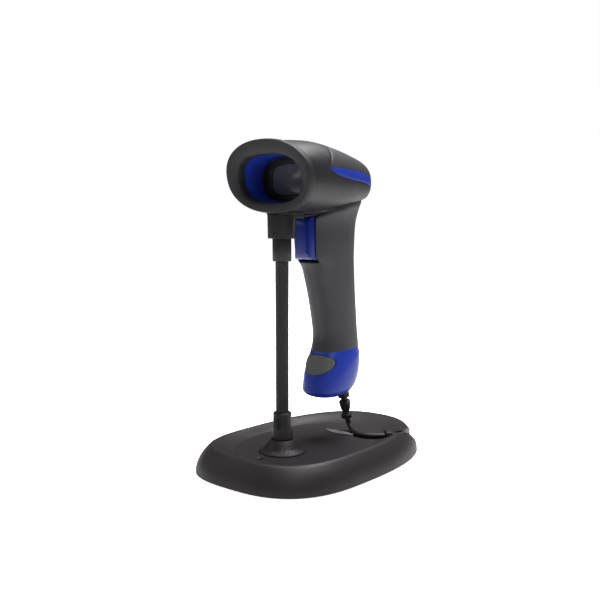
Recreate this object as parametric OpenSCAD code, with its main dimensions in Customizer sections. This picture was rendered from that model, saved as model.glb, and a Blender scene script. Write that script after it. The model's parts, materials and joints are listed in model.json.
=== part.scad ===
// Hand-held barcode scanner resting on a hands-free gooseneck stand.
// Frame: X across, -Y is the way the scanner looks, +Z up, Z = 0 under the feet.
// The origin is under the middle of the stand's base. Sizes are in millimetres.

/* [Stand base] */
// Half of the base's greatest width, at the table
base_half_w = 58.4; // [56:0.2:60]
// Length of the base in front of its widest line
base_front = 66; // [64:0.5:67]
// Length of the base behind its widest line
base_rear = 109; // [107:0.5:110]
// Height of the rim above the table
rim_z = 18.5; // [18:0.1:19]
// Height of the tray floor above the table
tray_z = 14; // [13.8:0.1:14.2]

/* [Stand neck] */
// Radius of the flexible gooseneck
neck_r = 4.4; // [4:0.1:4.6]
// Height of the lower ferrule's top
neck_low_z = 41; // [38:1:44]
// Height of the upper ferrule's underside
neck_high_z = 142; // [138:1:144]
// Height of the middle of the gooseneck's bend
bend_z = 92; // [85:1:100]

/* [Scanner] */
// Width of the rubber nose ring
nose_w = 73; // [72:0.5:74]
// Height of the rubber nose ring
nose_h = 47.2; // [46.5:0.1:47.5]
// Thickness of the moulded shells
wall = 2; // [1.6:0.1:2.2]
// Width of the trigger
trigger_w = 17; // [16:0.5:17.5]

/* [Cord] */
// Diameter of the cord
cord_d = 3.6; // [3.4:0.1:3.6]

/* [Hidden] */
$fn = 64;

// Places that several sub-parts share.
neck_y = -36;              // the gooseneck's axis
base_cy = -21.5;            // the base's widest line
plate_z = 0.8;             // underside of the base shell, above the feet
nose_front = -54.5;        // front face of the nose ring
nose_back = -49.6;         // rear face of the nose ring
throat_y = -45.6;          // inner end of the nose ring's sleeve
nose_cz = 197;             // middle height of the nose ring
nose_lean = 0.2;           // the nose's lower edge is set back by this share of its height
pivot_y = -6.5;            // trigger pivot
pivot_z = 168.5;
boot_y = 35.2;             // where the cord leaves its boot
boot_z = 24;
boot_tilt = 14;            // the boot leans back by this angle
grip_steps = 24;

// ---------- shapes that sub-parts share ----------

function lerp(a, b, t) = a + (b - a) * t;
function sgn_pow(v, p) = sign(v) * pow(abs(v), p);
function ease(t) = t * t * (3 - 2 * t);

// A point of a superellipse with half axes a and b and exponent n.
function super_pt(a, b, n, u) = [a * sgn_pow(cos(u), 2 / n), b * sgn_pow(sin(u), 2 / n)];

// The index of the table row whose interval holds x.
function row_of(x, table, i = 0) =
    i >= len(table) - 2 || x < table[i + 1][0] ? i : row_of(x, table, i + 1);

// A smooth curve through column c of a table sorted by its first column.
function curve(x, table, c) =
    let (i = row_of(x, table), n = len(table),
         x0 = table[i][0], x1 = table[i + 1][0], h = x1 - x0, t = (x - x0) / h,
         p0 = table[i][c], p1 = table[i + 1][c], d = (p1 - p0) / h,
         m0 = i == 0 ? d : (p1 - table[i - 1][c]) / (x1 - table[i - 1][0]),
         m1 = i > n - 3 ? d : (table[i + 2][c] - p0) / (table[i + 2][0] - x0))
    p0 * (1 + 2 * t) * (1 - t) * (1 - t) + m0 * h * t * (1 - t) * (1 - t)
    + p1 * t * t * (3 - 2 * t) - m1 * h * t * t * (1 - t);

// Egg outline: a different length and exponent in front of and behind its widest line.
function egg(half_w, cy, front, rear, steps = 72) = [
    for (k = [0:steps - 1])
        let (u = k * 360 / steps, back = sin(u) >= 0, p = super_pt(1, 1, back ? 2.5 : 2.8, u))
        [half_w * p[0], cy + (back ? rear : front) * p[1]]
];

// A closed solid skinned over rings of equal count; the first and last ring are its ends.
module skin(rings) {
    n = len(rings[0]);
    m = len(rings);
    polyhedron(
        points = [for (r = rings) each r],
        faces = concat(
            [[for (k = [0:n - 1]) k]],
            [for (j = [0:m - 2], k = [0:n - 1])
                each [[j * n + k, (j + 1) * n + k, (j + 1) * n + (k + 1) % n],
                      [j * n + k, (j + 1) * n + (k + 1) % n, j * n + (k + 1) % n]]],
            [[for (k = [n - 1:-1:0]) (m - 1) * n + k]]));
}

// A closed loop of equal sections, such as a ring or a picture frame.
module ring_skin(rings) {
    n = len(rings[0]);
    m = len(rings);
    polyhedron(
        points = [for (r = rings) each r],
        faces = [for (j = [0:m - 1], k = [0:n - 1])
            let (a = j * n, b = ((j + 1) % m) * n, q = (k + 1) % n)
            each [[a + k, b + k, b + q], [a + k, b + q, a + q]]]);
}

// A shell cut out of a grid of outer and inner points. The grid closes on itself along the
// first index where wrap is true. Only the cells that keep(i, j) accepts are solid.
// end_cap closes the last column with a flat face on each side.
module grid_shell(outer, inner, wrap, keep, end_cap = false) {
    ni = len(outer);
    nj = len(outer[0]);
    ci = wrap ? ni : ni - 1;
    base = ni * nj;
    at = function (i, j) (i % ni) * nj + j;
    solid = function (i, j)
        j >= 0 && j < nj - 1 && (wrap || (i >= 0 && i < ci)) && keep((i + ci) % ci, j);
    faces = [for (i = [0:ci - 1], j = [0:nj - 2]) if (solid(i, j))
        let (a = at(i, j), b = at(i + 1, j), c = at(i + 1, j + 1), d = at(i, j + 1))
        each concat(
            [[a, b, c], [a, c, d]],
            [[base + a, base + c, base + b], [base + a, base + d, base + c]],
            solid(i - 1, j) ? [] : [[a, d, base + d], [a, base + d, base + a]],
            solid(i + 1, j) ? [] : [[b, base + b, base + c], [b, base + c, c]],
            solid(i, j - 1) ? [] : [[a, base + a, base + b], [a, base + b, b]],
            solid(i, j + 1) || (end_cap && j == nj - 2) ? []
                : [[d, c, base + c], [d, base + c, base + d]])];
    caps = end_cap ? [
        [for (i = [0:ni - 1]) at(i, nj - 1)],
        [for (i = [ni - 1:-1:0]) base + at(i, nj - 1)]] : [];
    polyhedron(points = concat([for (r = outer) each r], [for (r = inner) each r]),
               faces = concat(faces, caps));
}

// Unit vector and cross product helpers for the swept tube.
function unit(v) = v / norm(v);
function tangent(path, i) =
    let (n = len(path)) unit(path[min(i + 1, n - 1)] - path[max(i - 1, 0)]);

// Frames carried along a path so that the tube doesn't twist.
function frames(path, i = 0, last = [0, 1, 0], out = []) =
    i == len(path) ? out :
    let (t = tangent(path, i), s = unit(last - (last * t) * t))
    frames(path, i + 1, s, concat(out, [[s, cross(t, s)]]));

// A round tube swept along a path.
module tube(path, r, sides = 8) {
    f = frames(path);
    skin([for (i = [0:len(path) - 1])
        [for (k = [0:sides - 1])
            path[i] + r * (cos(k * 360 / sides) * f[i][0] + sin(k * 360 / sides) * f[i][1])]]);
}

// Catmull-Rom points between hand-set ones, steps to each stretch.
function smooth_path(p, steps) = concat(
    [for (i = [0:len(p) - 2], k = [0:steps - 1])
        let (t = k / steps, a = p[max(i - 1, 0)], b = p[i], c = p[i + 1],
             d = p[min(i + 2, len(p) - 1)])
        0.5 * (2 * b + (c - a) * t + (2 * a - 5 * b + 4 * c - d) * t * t
               + (3 * b - a - 3 * c + d) * t * t * t)],
    [p[len(p) - 1]]);

// How far the slanting nose is set back at a height.
function nose_set(z) = nose_lean * (214 - z);

function at_z(points, z) = [for (p = points) [p[0], p[1], z]];

// ---------- stand base ----------

// The base's outline at the table, drawn in by a distance.
function base_outline(inset) =
    egg(base_half_w - inset, base_cy, base_front - inset, base_rear - inset);

// The flank: upright at the table, leaning in more and more towards the rim.
function flank(z) = 9 * pow(z / rim_z, 2.2);

// The oval of the tray floor.
function tray_oval(grow) = [for (k = [0:71])
    let (u = k * 5) [(40 + grow) * cos(u), -8.5 + (59.5 + grow) * sin(u)]];

module base_body() {
    rim = base_outline(9.6);
    floor_oval = tray_oval(0);
    skin(concat(
        [at_z(base_outline(13), 11.4), at_z(base_outline(6), 8), at_z(base_outline(3), 3),
         at_z(base_outline(3), plate_z)],
        [for (z = [plate_z, 3, 6, 9, 12, 14.5, 16.5, 17.8]) at_z(base_outline(flank(z)), z)],
        [at_z(rim, rim_z), at_z(base_outline(10.6), rim_z)],
        [for (t = [0.12, 0.3, 0.5, 0.7, 0.88])
            [for (k = [0:71]) [
                lerp(base_outline(10.6)[k][0], floor_oval[k][0], t),
                lerp(base_outline(10.6)[k][1], floor_oval[k][1], t),
                lerp(rim_z, tray_z, ease(0.08 + 0.92 * t))]]],
        [at_z(floor_oval, tray_z)]));
}

// The groove in which the cord leaves the tray and slants down through the rim.
module cord_channel() {
    half_w = cord_d / 2 + 1.1;
    skin([for (i = [7:18])
        let (p = cord_points[i], t = cord_points[i + 1] - cord_points[i - 1],
             n = half_w * unit([-t[1], t[0], 0]), low = p[2] - (p[2] > 15.8 ? 1.9 : 2.25))
        [[p[0] - n[0], p[1] - n[1], low], [p[0] + n[0], p[1] + n[1], low],
         [p[0] + n[0], p[1] + n[1], 30], [p[0] - n[0], p[1] - n[1], 30]]]);
}

// Where the clip stands, turned across the cord.
module clip_place() {
    translate([35.4, 37.4, tray_z]) rotate([0, 0, 45]) children();
}

module base_shell() {
    color([0.17, 0.16, 0.17])
    difference() {
        union() {
            base_body();
            // bosses that the bottom plate's screws bite into
            for (p = plate_screw_places)
                translate([p[0], p[1], 7.8]) cylinder(r = 4, h = 4.4);
        }
        for (p = plate_screw_places) translate([p[0], p[1], 7]) cylinder(r = 1.5, h = 4);
        cord_channel();
        clip_place() translate([-2.6, -5.2, 0]) cube([5.2, 10.4, 10]);
        translate([0, neck_y, 10]) cylinder(r = 4.3, h = 6);
        translate([0, -58, 10]) cylinder(r = 2.2, h = 6);
        translate([0, -58, 12.9]) cylinder(r1 = 2.2, r2 = 3.4, h = 1.3);
    }
}

module bottom_plate() {
    color([0.2, 0.2, 0.21])
    difference() {
        translate([0, 0, 1]) linear_extrude(1.4) polygon(base_outline(3.4));
        for (p = foot_places) translate([p[0], p[1], 0]) cylinder(r = 6.1, h = 4);
        for (p = plate_screw_places) translate([p[0], p[1], 0]) cylinder(r = 1.6, h = 4);
        translate([0, -58, 0]) cylinder(r = 5, h = 4);
    }
}

foot_places = [[-40, -48], [40, -48], [-34, 40], [34, 40]];
plate_screw_places = [[-26, -66], [26, -66], [-20, 62], [20, 62]];

module base_weight() {
    color([0.55, 0.56, 0.58])
    difference() {
        translate([0, 0, 2.6]) linear_extrude(5) polygon(base_outline(10));
        translate([0, neck_y, 0]) cylinder(r = 9, h = 12);
        translate([0, -58, 0]) cylinder(r = 5, h = 12);
        for (p = plate_screw_places) translate([p[0], p[1], 0]) cylinder(r = 2.2, h = 12);
    }
}

module rubber_feet() {
    color([0.08, 0.08, 0.08])
    for (p = foot_places)
        translate([p[0], p[1], 0])
            rotate_extrude()
                polygon([[0, 0], [5, 0], [5.9, 0.9], [5.9, 2.5], [0, 2.5]]);
}

// Countersunk screws that hold the bottom plate and the weight.
module base_screws() {
    color([0.7, 0.7, 0.72])
    for (p = plate_screw_places)
        translate([p[0], p[1], 0])
            rotate_extrude()
                polygon([[0, 0.4], [2.6, 0.4], [2.6, 0.9], [1.5, 0.9], [1.5, 9.5], [0, 10.5]]);
}

// Blank badge, lens shaped, lying on the tray floor.
module badge_plate() {
    badge_r = 29;
    color([0.8, 0.8, 0.82])
    translate([-1, 27, tray_z])
        linear_extrude(0.6)
            intersection() {
                translate([0, badge_r - 3.1]) circle(r = badge_r);
                translate([0, 3.1 - badge_r]) circle(r = badge_r);
            }
}

// Clip over the cord at the edge of the tray.
module cord_clip() {
    color([0.13, 0.12, 0.14])
    clip_place()
        difference() {
            translate([-2.5, -5.1, 0.05]) cube([5, 10.2, 5.2]);
            translate([-4, -2.3, -1]) cube([8, 4.6, 5.1]);
        }
}

// ---------- stand neck ----------

module neck_collar() {
    color([0.14, 0.13, 0.14])
    translate([0, neck_y, 0])
        rotate_extrude()
            polygon([[4.2, tray_z], [16, tray_z], [15.6, 15], [13.6, 16], [11.6, 17.8],
                     [9.8, 20.4], [8, 22.6], [4.2, 22.6]]);
}

module neck_nut() {
    color([0.7, 0.7, 0.72])
    translate([0, neck_y, 0]) {
        difference() {
            translate([0, 0, 4.6]) cylinder(r = 7.4, h = 6.6, $fn = 6);
            translate([0, 0, 2]) cylinder(r = 4.05, h = 12);
        }
    }
}

// Turned ferrule with the threaded stud that the nut holds.
module lower_ferrule() {
    color([0.12, 0.12, 0.13])
    translate([0, neck_y, 0])
        rotate_extrude()
            polygon([[0, 5], [4, 5], [4, 22.6], [7.3, 22.6], [7.3, 24], [6.6, 30], [6.6, 31],
                     [6.2, 31.6], [6.2, neck_low_z - 0.6], [5.6, neck_low_z],
                     [neck_r + 0.06, neck_low_z], [neck_r + 0.06, 30], [0, 30]]);
}

// Lower half of the gooseneck, with the ball on which the upper half bends.
module gooseneck_lower() {
    color([0.1, 0.1, 0.1])
    translate([0, neck_y, 0]) {
        rotate_extrude()
            polygon([[0, 30.1], [neck_r, 30.1], [neck_r, bend_z - 1.4], [1.2, bend_z - 1.4],
                     [1.2, bend_z], [0, bend_z]]);
        translate([0, 0, bend_z]) sphere(r = 2);
    }
}

module gooseneck_upper() {
    color([0.1, 0.1, 0.1])
    translate([0, neck_y, 0])
        difference() {
            translate([0, 0, bend_z + 1.4])
                cylinder(r = neck_r, h = neck_high_z + 8 - bend_z - 1.4);
            translate([0, 0, bend_z]) sphere(r = 2.3);
        }
}

module upper_ferrule() {
    color([0.12, 0.12, 0.13])
    translate([0, neck_y, 0])
        rotate_extrude()
            polygon([[neck_r + 0.06, neck_high_z], [5.9, neck_high_z], [6.25, neck_high_z + 0.6],
                     [6.25, neck_high_z + 15], [5, neck_high_z + 15], [5, neck_high_z + 21],
                     [0, neck_high_z + 21], [0, neck_high_z + 8.1],
                     [neck_r + 0.06, neck_high_z + 8.1]]);
}

// ---------- holder ----------

cradle_z = neck_high_z + 15;   // underside of the cradle's socket

module cradle() {
    color([0.2, 0.2, 0.21])
    difference() {
        union() {
            translate([0, neck_y, 0])
                rotate_extrude()
                    polygon([[0, cradle_z], [9, cradle_z], [9.3, cradle_z + 0.4],
                             [9.6, 175], [0, 175]]);
            translate([-9.5, neck_y, 170]) cube([19, -24.6 - neck_y, 5]);
        }
        translate([0, neck_y, cradle_z - 1]) cylinder(r = 5.05, h = 7.4);
        translate([0, 0, 172.6 + 61]) rotate([90, 0, 0]) cylinder(r = 61, h = 120, center = true);
    }
}

// Thin rubber lining that the nose rests on.
module cradle_pad() {
    color([0.08, 0.08, 0.08])
    intersection() {
        translate([0, 0, 171]) linear_extrude(5.4)
            polygon([[-5, -43.6], [-8, -41], [-9, -36], [-9, -25.2], [9, -25.2], [9, -36],
                     [8, -41], [5, -43.6]]);
        translate([0, 0, 172.6 + 61])
            rotate([90, 0, 0])
                difference() {
                    cylinder(r = 61, h = 120, center = true);
                    cylinder(r = 60.3, h = 122, center = true);
                }
    }
}

// ---------- scanner head ----------

// Stations of the head: y, half width, underside, top.
head_table = [
    [-49.4, 34.8, 174.9, 219.4], [-36, 34.3, 174.2, 220.6], [-20, 33, 174, 220.8],
    [0, 31, 174.8, 217.8], [15, 28.4, 176.4, 214.6], [28, 25, 178.6, 210.9],
    [36, 20.5, 181.3, 207.2], [40.6, 14, 185, 202], [42.5, 6, 189.4, 196]];
head_n = 2.4;
head_y = [-49.4, -42, -34.5, -27, -13.5, -6, 3, 12, 20, 27, 32.5, 36.8, 40, 42.5];
seam_col = 3;       // column at the front tip of the side stripe
mouth_col = 4;      // column where the grip's opening starts
tail_col = 11;      // columns from here on are stripe all round

// Heights of the lines that part the shells: y, grip line, stripe's lower and upper edge.
line_table = [
    [-49.4, 175.6, 201.6, 202.4], [-23, 175.6, 200.6, 202.4], [-14.5, 176, 197.4, 202.6],
    [0, 178, 195.4, 201.8], [15, 181.2, 194.2, 200.6], [27, 184.4, 192.2, 198.6],
    [36.8, 186.8, 190.4, 197.8], [42.5, 190.6, 192, 194.6]];
lap = 1.2;          // the grip's upper edge laps over the opening by this much

// Angle on the head's section at which it reaches a height.
function angle_at(y, z) =
    let (lo = curve(y, head_table, 2), hi = curve(y, head_table, 3),
         r = max(-0.995, min(0.995, (z - (lo + hi) / 2) / ((hi - lo) / 2))))
    asin(sgn_pow(r, head_n / 2));

// Rows from the underside up one flank to the crown: share of the way between two lines.
head_rows = [
    [0, 0], [0, 0.34], [0, 0.67], [1, 0], [1, 0.22], [1, 0.42], [1, 0.62], [1, 0.82], [2, 0],
    [3, 0], [3, 0.15], [3, 0.32], [3, 0.5], [3, 0.68], [3, 0.85], [3, 1]];
row_grip = 3;
row_stripe = 8;
row_crown = 9;
half_rows = len(head_rows) - 1;

function line_angle(k, y) =
    k == 0 ? -90 : k == 4 ? 90 : angle_at(y, curve(y, line_table, k) - (k == 1 ? lap : 0));

// Height of a row of the grid at the head's front.
function row_z(row) =
    let (y = head_y[0], k = head_rows[row][0],
         u = lerp(line_angle(k, y), line_angle(k + 1, y), head_rows[row][1]),
         lo = curve(y, head_table, 2), hi = curve(y, head_table, 3))
    (lo + hi) / 2 + super_pt(1, (hi - lo) / 2, head_n, u)[1];

// The y of a grid point: above the stripe the columns lean back to make the chevron seam.
function head_col_y(row, j) =
    let (rise = row <= row_crown ? 0 : (row - row_crown) / (half_rows - row_crown),
         seam = lerp(head_y[seam_col], -5, rise), y = head_y[j], s = head_y[seam_col],
         tail = head_y[tail_col])
    j <= seam_col ? lerp(head_y[0] + nose_set(row_z(row)), seam, (y - head_y[0]) / (s - head_y[0]))
    : j >= tail_col ? y : lerp(seam, tail, (y - s) / (tail - s));

// One point of the head's skin, drawn in by a thickness.
function head_pt(row, side, j, inset) =
    let (y = head_col_y(row, j), k = head_rows[row][0],
         u = lerp(line_angle(k, y), line_angle(k + 1, y), head_rows[row][1]),
         lo = curve(y, head_table, 2), hi = curve(y, head_table, 3),
         back = inset * ease(max(0, (y - 26) / 16.5)),
         p = super_pt(curve(y, head_table, 1) - inset, (hi - lo) / 2 - inset, head_n, u))
    [side * p[0], y - back, (hi + lo) / 2 + p[1]];

// Index 0 is the underside, rising on the +X side, over the crown and down on the -X side.
function head_grid(inset) = [
    for (i = [0:2 * half_rows - 1])
        let (side = i <= half_rows ? 1 : -1, row = side > 0 ? i : 2 * half_rows - i)
        [for (j = [0:len(head_y) - 1]) head_pt(row, side, j, inset)]];

// The lower of the two rows that bound cell i of the grid.
function cell_row(i) = i < half_rows ? i : 2 * half_rows - 1 - i;

module head_part(keep, end_cap = false) {
    grid_shell(head_grid(0), head_grid(wall), true, keep, end_cap);
}

module head_shell() {
    color([0.16, 0.16, 0.17])
    head_part(function (i, j)
        let (r = cell_row(i))
        j < tail_col
        && (r < row_grip ? j < mouth_col : r < row_stripe ? true : j < seam_col));
}

module top_cover() {
    color([0.3, 0.3, 0.31])
    head_part(function (i, j) cell_row(i) >= row_crown && j >= seam_col && j < tail_col);
}

module side_trim() {
    color([0.1, 0.16, 0.72])
    head_part(function (i, j)
        let (r = cell_row(i))
        j >= tail_col || (r == row_stripe && j >= seam_col), true);
}

// ---------- grip ----------

// Rings of the grip: height, middle y, backward slope, half width, half depth.
grip_table = [
    [181.8, 12, 13.4, 23, 27.6], [177.2, 11.8, 12, 20.8, 25.2], [171.6, 11.4, 9, 18.4, 23.6],
    [165, 11, 5, 17, 22], [156, 10.9, 2, 16.4, 21.4], [146, 11.3, 0, 15.9, 20.9],
    [140, 12, 0, 15.6, 20.3], [131, 13.4, -2, 15.4, 19.5], [120, 15.5, -5, 15, 18.4],
    [108, 17.6, -7, 14.7, 17.6], [96, 19.5, -8, 14.5, 17], [85, 21, -7, 14.6, 16.8],
    [78, 20.4, 2, 15, 18], [72.5, 18.4, 14, 16, 20.8], [67, 17, 23, 16.8, 23.7],
    [58.5, 16.2, 20, 17.2, 23.6], [51, 15.8, 9, 16.6, 22], [47.6, 15.4, 4, 14.8, 19.5],
    [45.6, 15, 2, 11.8, 15.7]];
grip_n = 2.3;
slot_top = 1;       // rings between which the trigger's opening lies
slot_low = 6;
toe_ring = 12;      // rings between which the toe inlay lies
cap_ring = 14;
grip_u = [0, 12, 24, 36, 49, 63, 78, 94, 111, 128, 145, 162, 180];

// Height of the head's underside at a place.
function under_z(x, y) =
    let (lo = curve(y, head_table, 2), hi = curve(y, head_table, 3),
         r = min(0.999, abs(x) / curve(y, head_table, 1)))
    (lo + hi) / 2 - (hi - lo) / 2 * pow(1 - pow(r, head_n), 1 / head_n);

// Upper edge of the grip: it lies on the head's skin just outside the opening.
function collar_pt(side, v, inset) =
    let (y = lerp(-15.4 + inset, 37.8 - inset, (1 - cos(v)) / 2),
         reach = curve(y, head_table, 1) * cos(angle_at(y, curve(y, line_table, 1))) ^ (2 / head_n),
         x = (reach - inset) * sgn_pow(sin(v), 0.5))
    [side * x, y, under_z(x, y) - 0.15];

function grip_pt(i, j, inset) =
    let (half = len(grip_u) - 1, side = i <= half ? 1 : -1,
         v = grip_u[side > 0 ? i : 2 * half - i])
    j == 0 ? collar_pt(side, v, inset) :
    let (u = v - 90, r = grip_table[j],
         p = super_pt(r[3] - inset, r[4] - inset, grip_n, u))
    [side * p[0], r[1] + p[1] * cos(r[2]), r[0] + p[1] * sin(r[2])];

function grip_grid(inset) = [for (i = [0:grip_steps - 1])
    [for (j = [0:len(grip_table) - 1]) grip_pt(i, j, inset)]];

// Distance of cell i from the front middle, in cells.
function cell_off(i) = i < grip_steps / 2 ? i : grip_steps - 1 - i;

module grip_part(keep) {
    grid_shell(grip_grid(0), grip_grid(wall), true, keep);
}

module grip_half(left) {
    color([0.3, 0.3, 0.31])
    grip_part(function (i, j)
        (left ? i >= grip_steps / 2 : i < grip_steps / 2)
        && j < cap_ring
        && !(cell_off(i) < 3 && j >= slot_top && j < slot_low)
        && !(cell_off(i) < 5 && j >= toe_ring));
}

// Grey inlay on the upper face of the toe.
module toe_inlay() {
    color([0.36, 0.37, 0.36])
    grip_part(function (i, j) cell_off(i) < 5 && j >= toe_ring && j < cap_ring);
}

// Blue cap that closes the foot of the grip, with the hole for the cord's plug.
module end_cap() {
    last = len(grip_table) - 1;
    outer = [for (j = [cap_ring:last]) [for (i = [0:grip_steps - 1]) grip_pt(i, j, 0)]];
    inner = [for (j = [last:-1:cap_ring]) [for (i = [0:grip_steps - 1])
        grip_pt(i, j, wall) + [0, 0, j == last ? 1.6 : 0]]];
    color([0.1, 0.16, 0.72])
    difference() {
        // The rings run down the outside, across the floor and up the inside.
        cap_body(outer, inner);
        plug_axis() translate([0, 0, 12]) cylinder(r = 4.6, h = 14);
    }
}

module cap_body(outer, inner) {
    n = grip_steps;
    m = len(outer);
    polyhedron(
        points = concat([for (r = outer) each r], [for (r = inner) each r]),
        faces = concat(
            [for (j = [0:m - 2], k = [0:n - 1])
                let (a = j * n + k, b = j * n + (k + 1) % n)
                each [[a, b, b + n], [a, b + n, a + n]]],
            [[for (k = [0:n - 1]) (m - 1) * n + k]],
            [for (j = [m:2 * m - 2], k = [0:n - 1])
                let (a = j * n + k, b = j * n + (k + 1) % n)
                each [[a, b, b + n], [a, b + n, a + n]]],
            [[for (k = [n - 1:-1:0]) m * n + k]],
            [for (k = [0:n - 1])
                let (a = k, b = (k + 1) % n, c = (2 * m - 1) * n + k, d = (2 * m - 1) * n + (k + 1) % n)
                each [[c, d, b], [c, b, a]]]));
}

// ---------- nose and scan tunnel ----------

// Section loop of the nose ring: y, and the share of the way from the opening to the rim.
nose_loop = [
    [nose_back, 0.3], [nose_back, 0.94], [nose_back + 0.8, 0.985], [-51.6, 1], [-53.6, 0.97],
    [nose_front, 0.88], [-54, 0.4], [-52.8, 0.1], [-51.4, 0], [throat_y, 0], [throat_y, 0.3]];
mouth_a = 27.2;
mouth_b = 15.3;
mouth_cz = 195.6;

module nose_bumper() {
    color([0.15, 0.15, 0.15])
    ring_skin([for (k = [0:47])
        let (u = k * 7.5, o = super_pt(nose_w / 2, nose_h / 2, 2.2, u),
             m = super_pt(mouth_a, mouth_b, 2.6, u))
        [for (s = nose_loop)
            let (z = lerp(mouth_cz + m[1], nose_cz + o[1], s[1]))
            [lerp(m[0], o[0], s[1]), s[0] + nose_set(z), z]]]);
}

function tunnel_ring(y, a, b) = [for (k = [0:47])
    let (p = super_pt(a, b, 2.6, k * 7.5)) [p[0], y, mouth_cz + p[1]]];

// Blue tube between the nose ring and the window.
module tunnel_liner() {
    color([0.1, 0.16, 0.72])
    ring_skin([for (k = [0:47])
        [for (s = [[throat_y + 0.1, 1.6], [-25.6, 0.8], [-25.6, -0.6], [throat_y + 0.1, 0.2]])
            let (p = super_pt(mouth_a + s[1], mouth_b + s[1], 2.6, k * 7.5))
            [p[0], s[0] + (s[0] < -40 ? nose_set(mouth_cz + p[1]) : 0), mouth_cz + p[1]]]]);
}

module window_frame() {
    color([0.04, 0.04, 0.04])
    translate([0, -25.5, mouth_cz])
        rotate([-90, 0, 0])
            linear_extrude(2.4)
                difference() {
                    polygon([for (k = [0:47]) super_pt(29, 17, 2.6, k * 7.5)]);
                    window_outline(18.4, 10.4);
                }
}

module window_outline(a, b) {
    polygon([for (k = [0:35]) super_pt(a, b, 3.4, k * 10)]);
}

module scan_window() {
    color([0.45, 0.45, 0.47, 0.7])
    translate([0, -25, mouth_cz])
        rotate([-90, 0, 0])
            linear_extrude(1.4) window_outline(18.2, 10.2);
}

// ---------- scan engine and electronics ----------

// Box that carries the lens, the lamps and the sensor board behind the window.
module engine_frame() {
    color([0.05, 0.05, 0.05])
    difference() {
        translate([-21, -22.8, mouth_cz - 12]) cube([42, 14, 24]);
        translate([-19.4, -22, mouth_cz - 10.4]) cube([38.8, 20, 20.8]);
        translate([-17, -24, mouth_cz - 9]) cube([34, 4, 18]);
    }
}

module lens_barrel() {
    color([0.09, 0.09, 0.1])
    translate([0, -10.4, mouth_cz])
        rotate([90, 0, 0])
            rotate_extrude()
                polygon([[0, 0], [5.4, 0], [5.4, 5], [4.6, 6], [4.6, 10], [3, 10], [3, 8.6],
                         [0, 8.2]]);
}

module led_lamps() {
    color([0.9, 0.9, 0.85])
    for (x = [-12, 12], z = [-5, 5])
        translate([x, -10.4, mouth_cz + z])
            rotate([90, 0, 0]) {
                cylinder(r = 2.4, h = 2);
                translate([0, 0, 2]) cylinder(r1 = 2.2, r2 = 1.4, h = 2.4);
            }
}

module sensor_board() {
    color([0.05, 0.3, 0.15])
    translate([-18, -10.3, mouth_cz - 9.6]) cube([36, 1.5, 19.2]);
}

module beeper() {
    color([0.06, 0.06, 0.06])
    translate([0, 3, 183.5])
        rotate_extrude()
            polygon([[1.2, 0], [7, 0], [7, 5], [1.2, 5]]);
}

// Rails inside the grip that the main board is screwed to, with the engine's shelf on top.
module inner_chassis() {
    color([0.1, 0.1, 0.11])
    difference() {
        union() {
            translate([-11, 20.4, 92]) cube([22, 3, 92]);
            for (z = board_screw_z) translate([0, 18, z]) rotate([-90, 0, 0]) cylinder(r = 3, h = 3);
            translate([-14, -22, 181.2]) cube([28, 30, 2.2]);
            translate([-9, 7.9, 181.2]) cube([18, 15.5, 2.2]);
            translate([-3, pivot_y - 3, pivot_z - 3]) cube([6, 6, 16]);
        }
        translate([0, pivot_y, pivot_z]) rotate([0, 90, 0]) cylinder(r = 1.34, h = 20, center = true);
        for (z = board_screw_z) translate([0, 14, z]) rotate([-90, 0, 0]) cylinder(r = 1.1, h = 9);
    }
}

board_screw_z = [100, 172];

module main_board() {
    color([0.05, 0.3, 0.15])
    difference() {
        translate([-10, 16.3, 94]) cube([20, 1.6, 84]);
        for (z = board_screw_z) translate([0, 14, z]) rotate([-90, 0, 0]) cylinder(r = 1.3, h = 6);
    }
}

module board_screws() {
    color([0.75, 0.75, 0.76])
    for (z = board_screw_z)
        translate([0, 14.5, z])
            rotate([-90, 0, 0])
                rotate_extrude()
                    polygon([[0, 0], [2.2, 0], [2.2, 1.7], [1, 1.7], [1, 8], [0, 8.6]]);
}

// ---------- trigger ----------

module trigger_body(y0, y1) {
    half = trigger_w / 2;
    intersection() {
        translate([0, 0, 138])
            linear_extrude(38)
                polygon([[-half + 0.7, y1], [-half + 0.7, -9.5], [-half, -10.2], [-half, -12.6],
                         [-half + 1.2, -14.6], [-half + 3.4, -15.9], [-half + 5, y0],
                         [half - 5, y0], [half - 3.4, -15.9], [half - 1.2, -14.6],
                         [half, -12.6], [half, -10.2], [half - 0.7, -9.5], [half - 0.7, y1]]);
        rotate([90, 0, 90])
            linear_extrude(2 * trigger_w, center = true)
                polygon([[y0, 147], [y0 + 0.6, 144.4], [y0 + 2, 142.8], [y0 + 4, 142],
                         [y1, 142], [y1, 171.6], [y0 + 5, 171.6], [y0 + 2.6, 171],
                         [y0 + 1, 169.2], [y0 + 0.2, 166.6], [y0, 164]]);
    }
}

module trigger() {
    color([0.08, 0.12, 0.55])
    difference() {
        trigger_body(-16.2, -3.4);
        translate([0, pivot_y, pivot_z]) rotate([0, 90, 0]) cylinder(r = 1.35, h = 40, center = true);
        // hollow back that takes the spring and the switch, and a slot for the pivot's lug
        translate([-6.4, -11.4, 140.5]) cube([12.8, 14, 21.5]);
        translate([-3.4, -11.4, 161]) cube([6.8, 14, 14]);
    }
}

module trigger_pin() {
    color([0.75, 0.75, 0.76])
    translate([0, pivot_y, pivot_z]) rotate([0, 90, 0]) cylinder(r = 1.3, h = 15.2, center = true);
}

// Return spring between the trigger and the switch bracket.
module trigger_spring() {
    color([0.75, 0.75, 0.76])
    tube([for (k = [0:40])
        [2.3 * cos(k * 45), lerp(-10.6, -0.5, k / 40), 147 + 2.3 * sin(k * 45)]], 0.35, 6);
}

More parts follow.
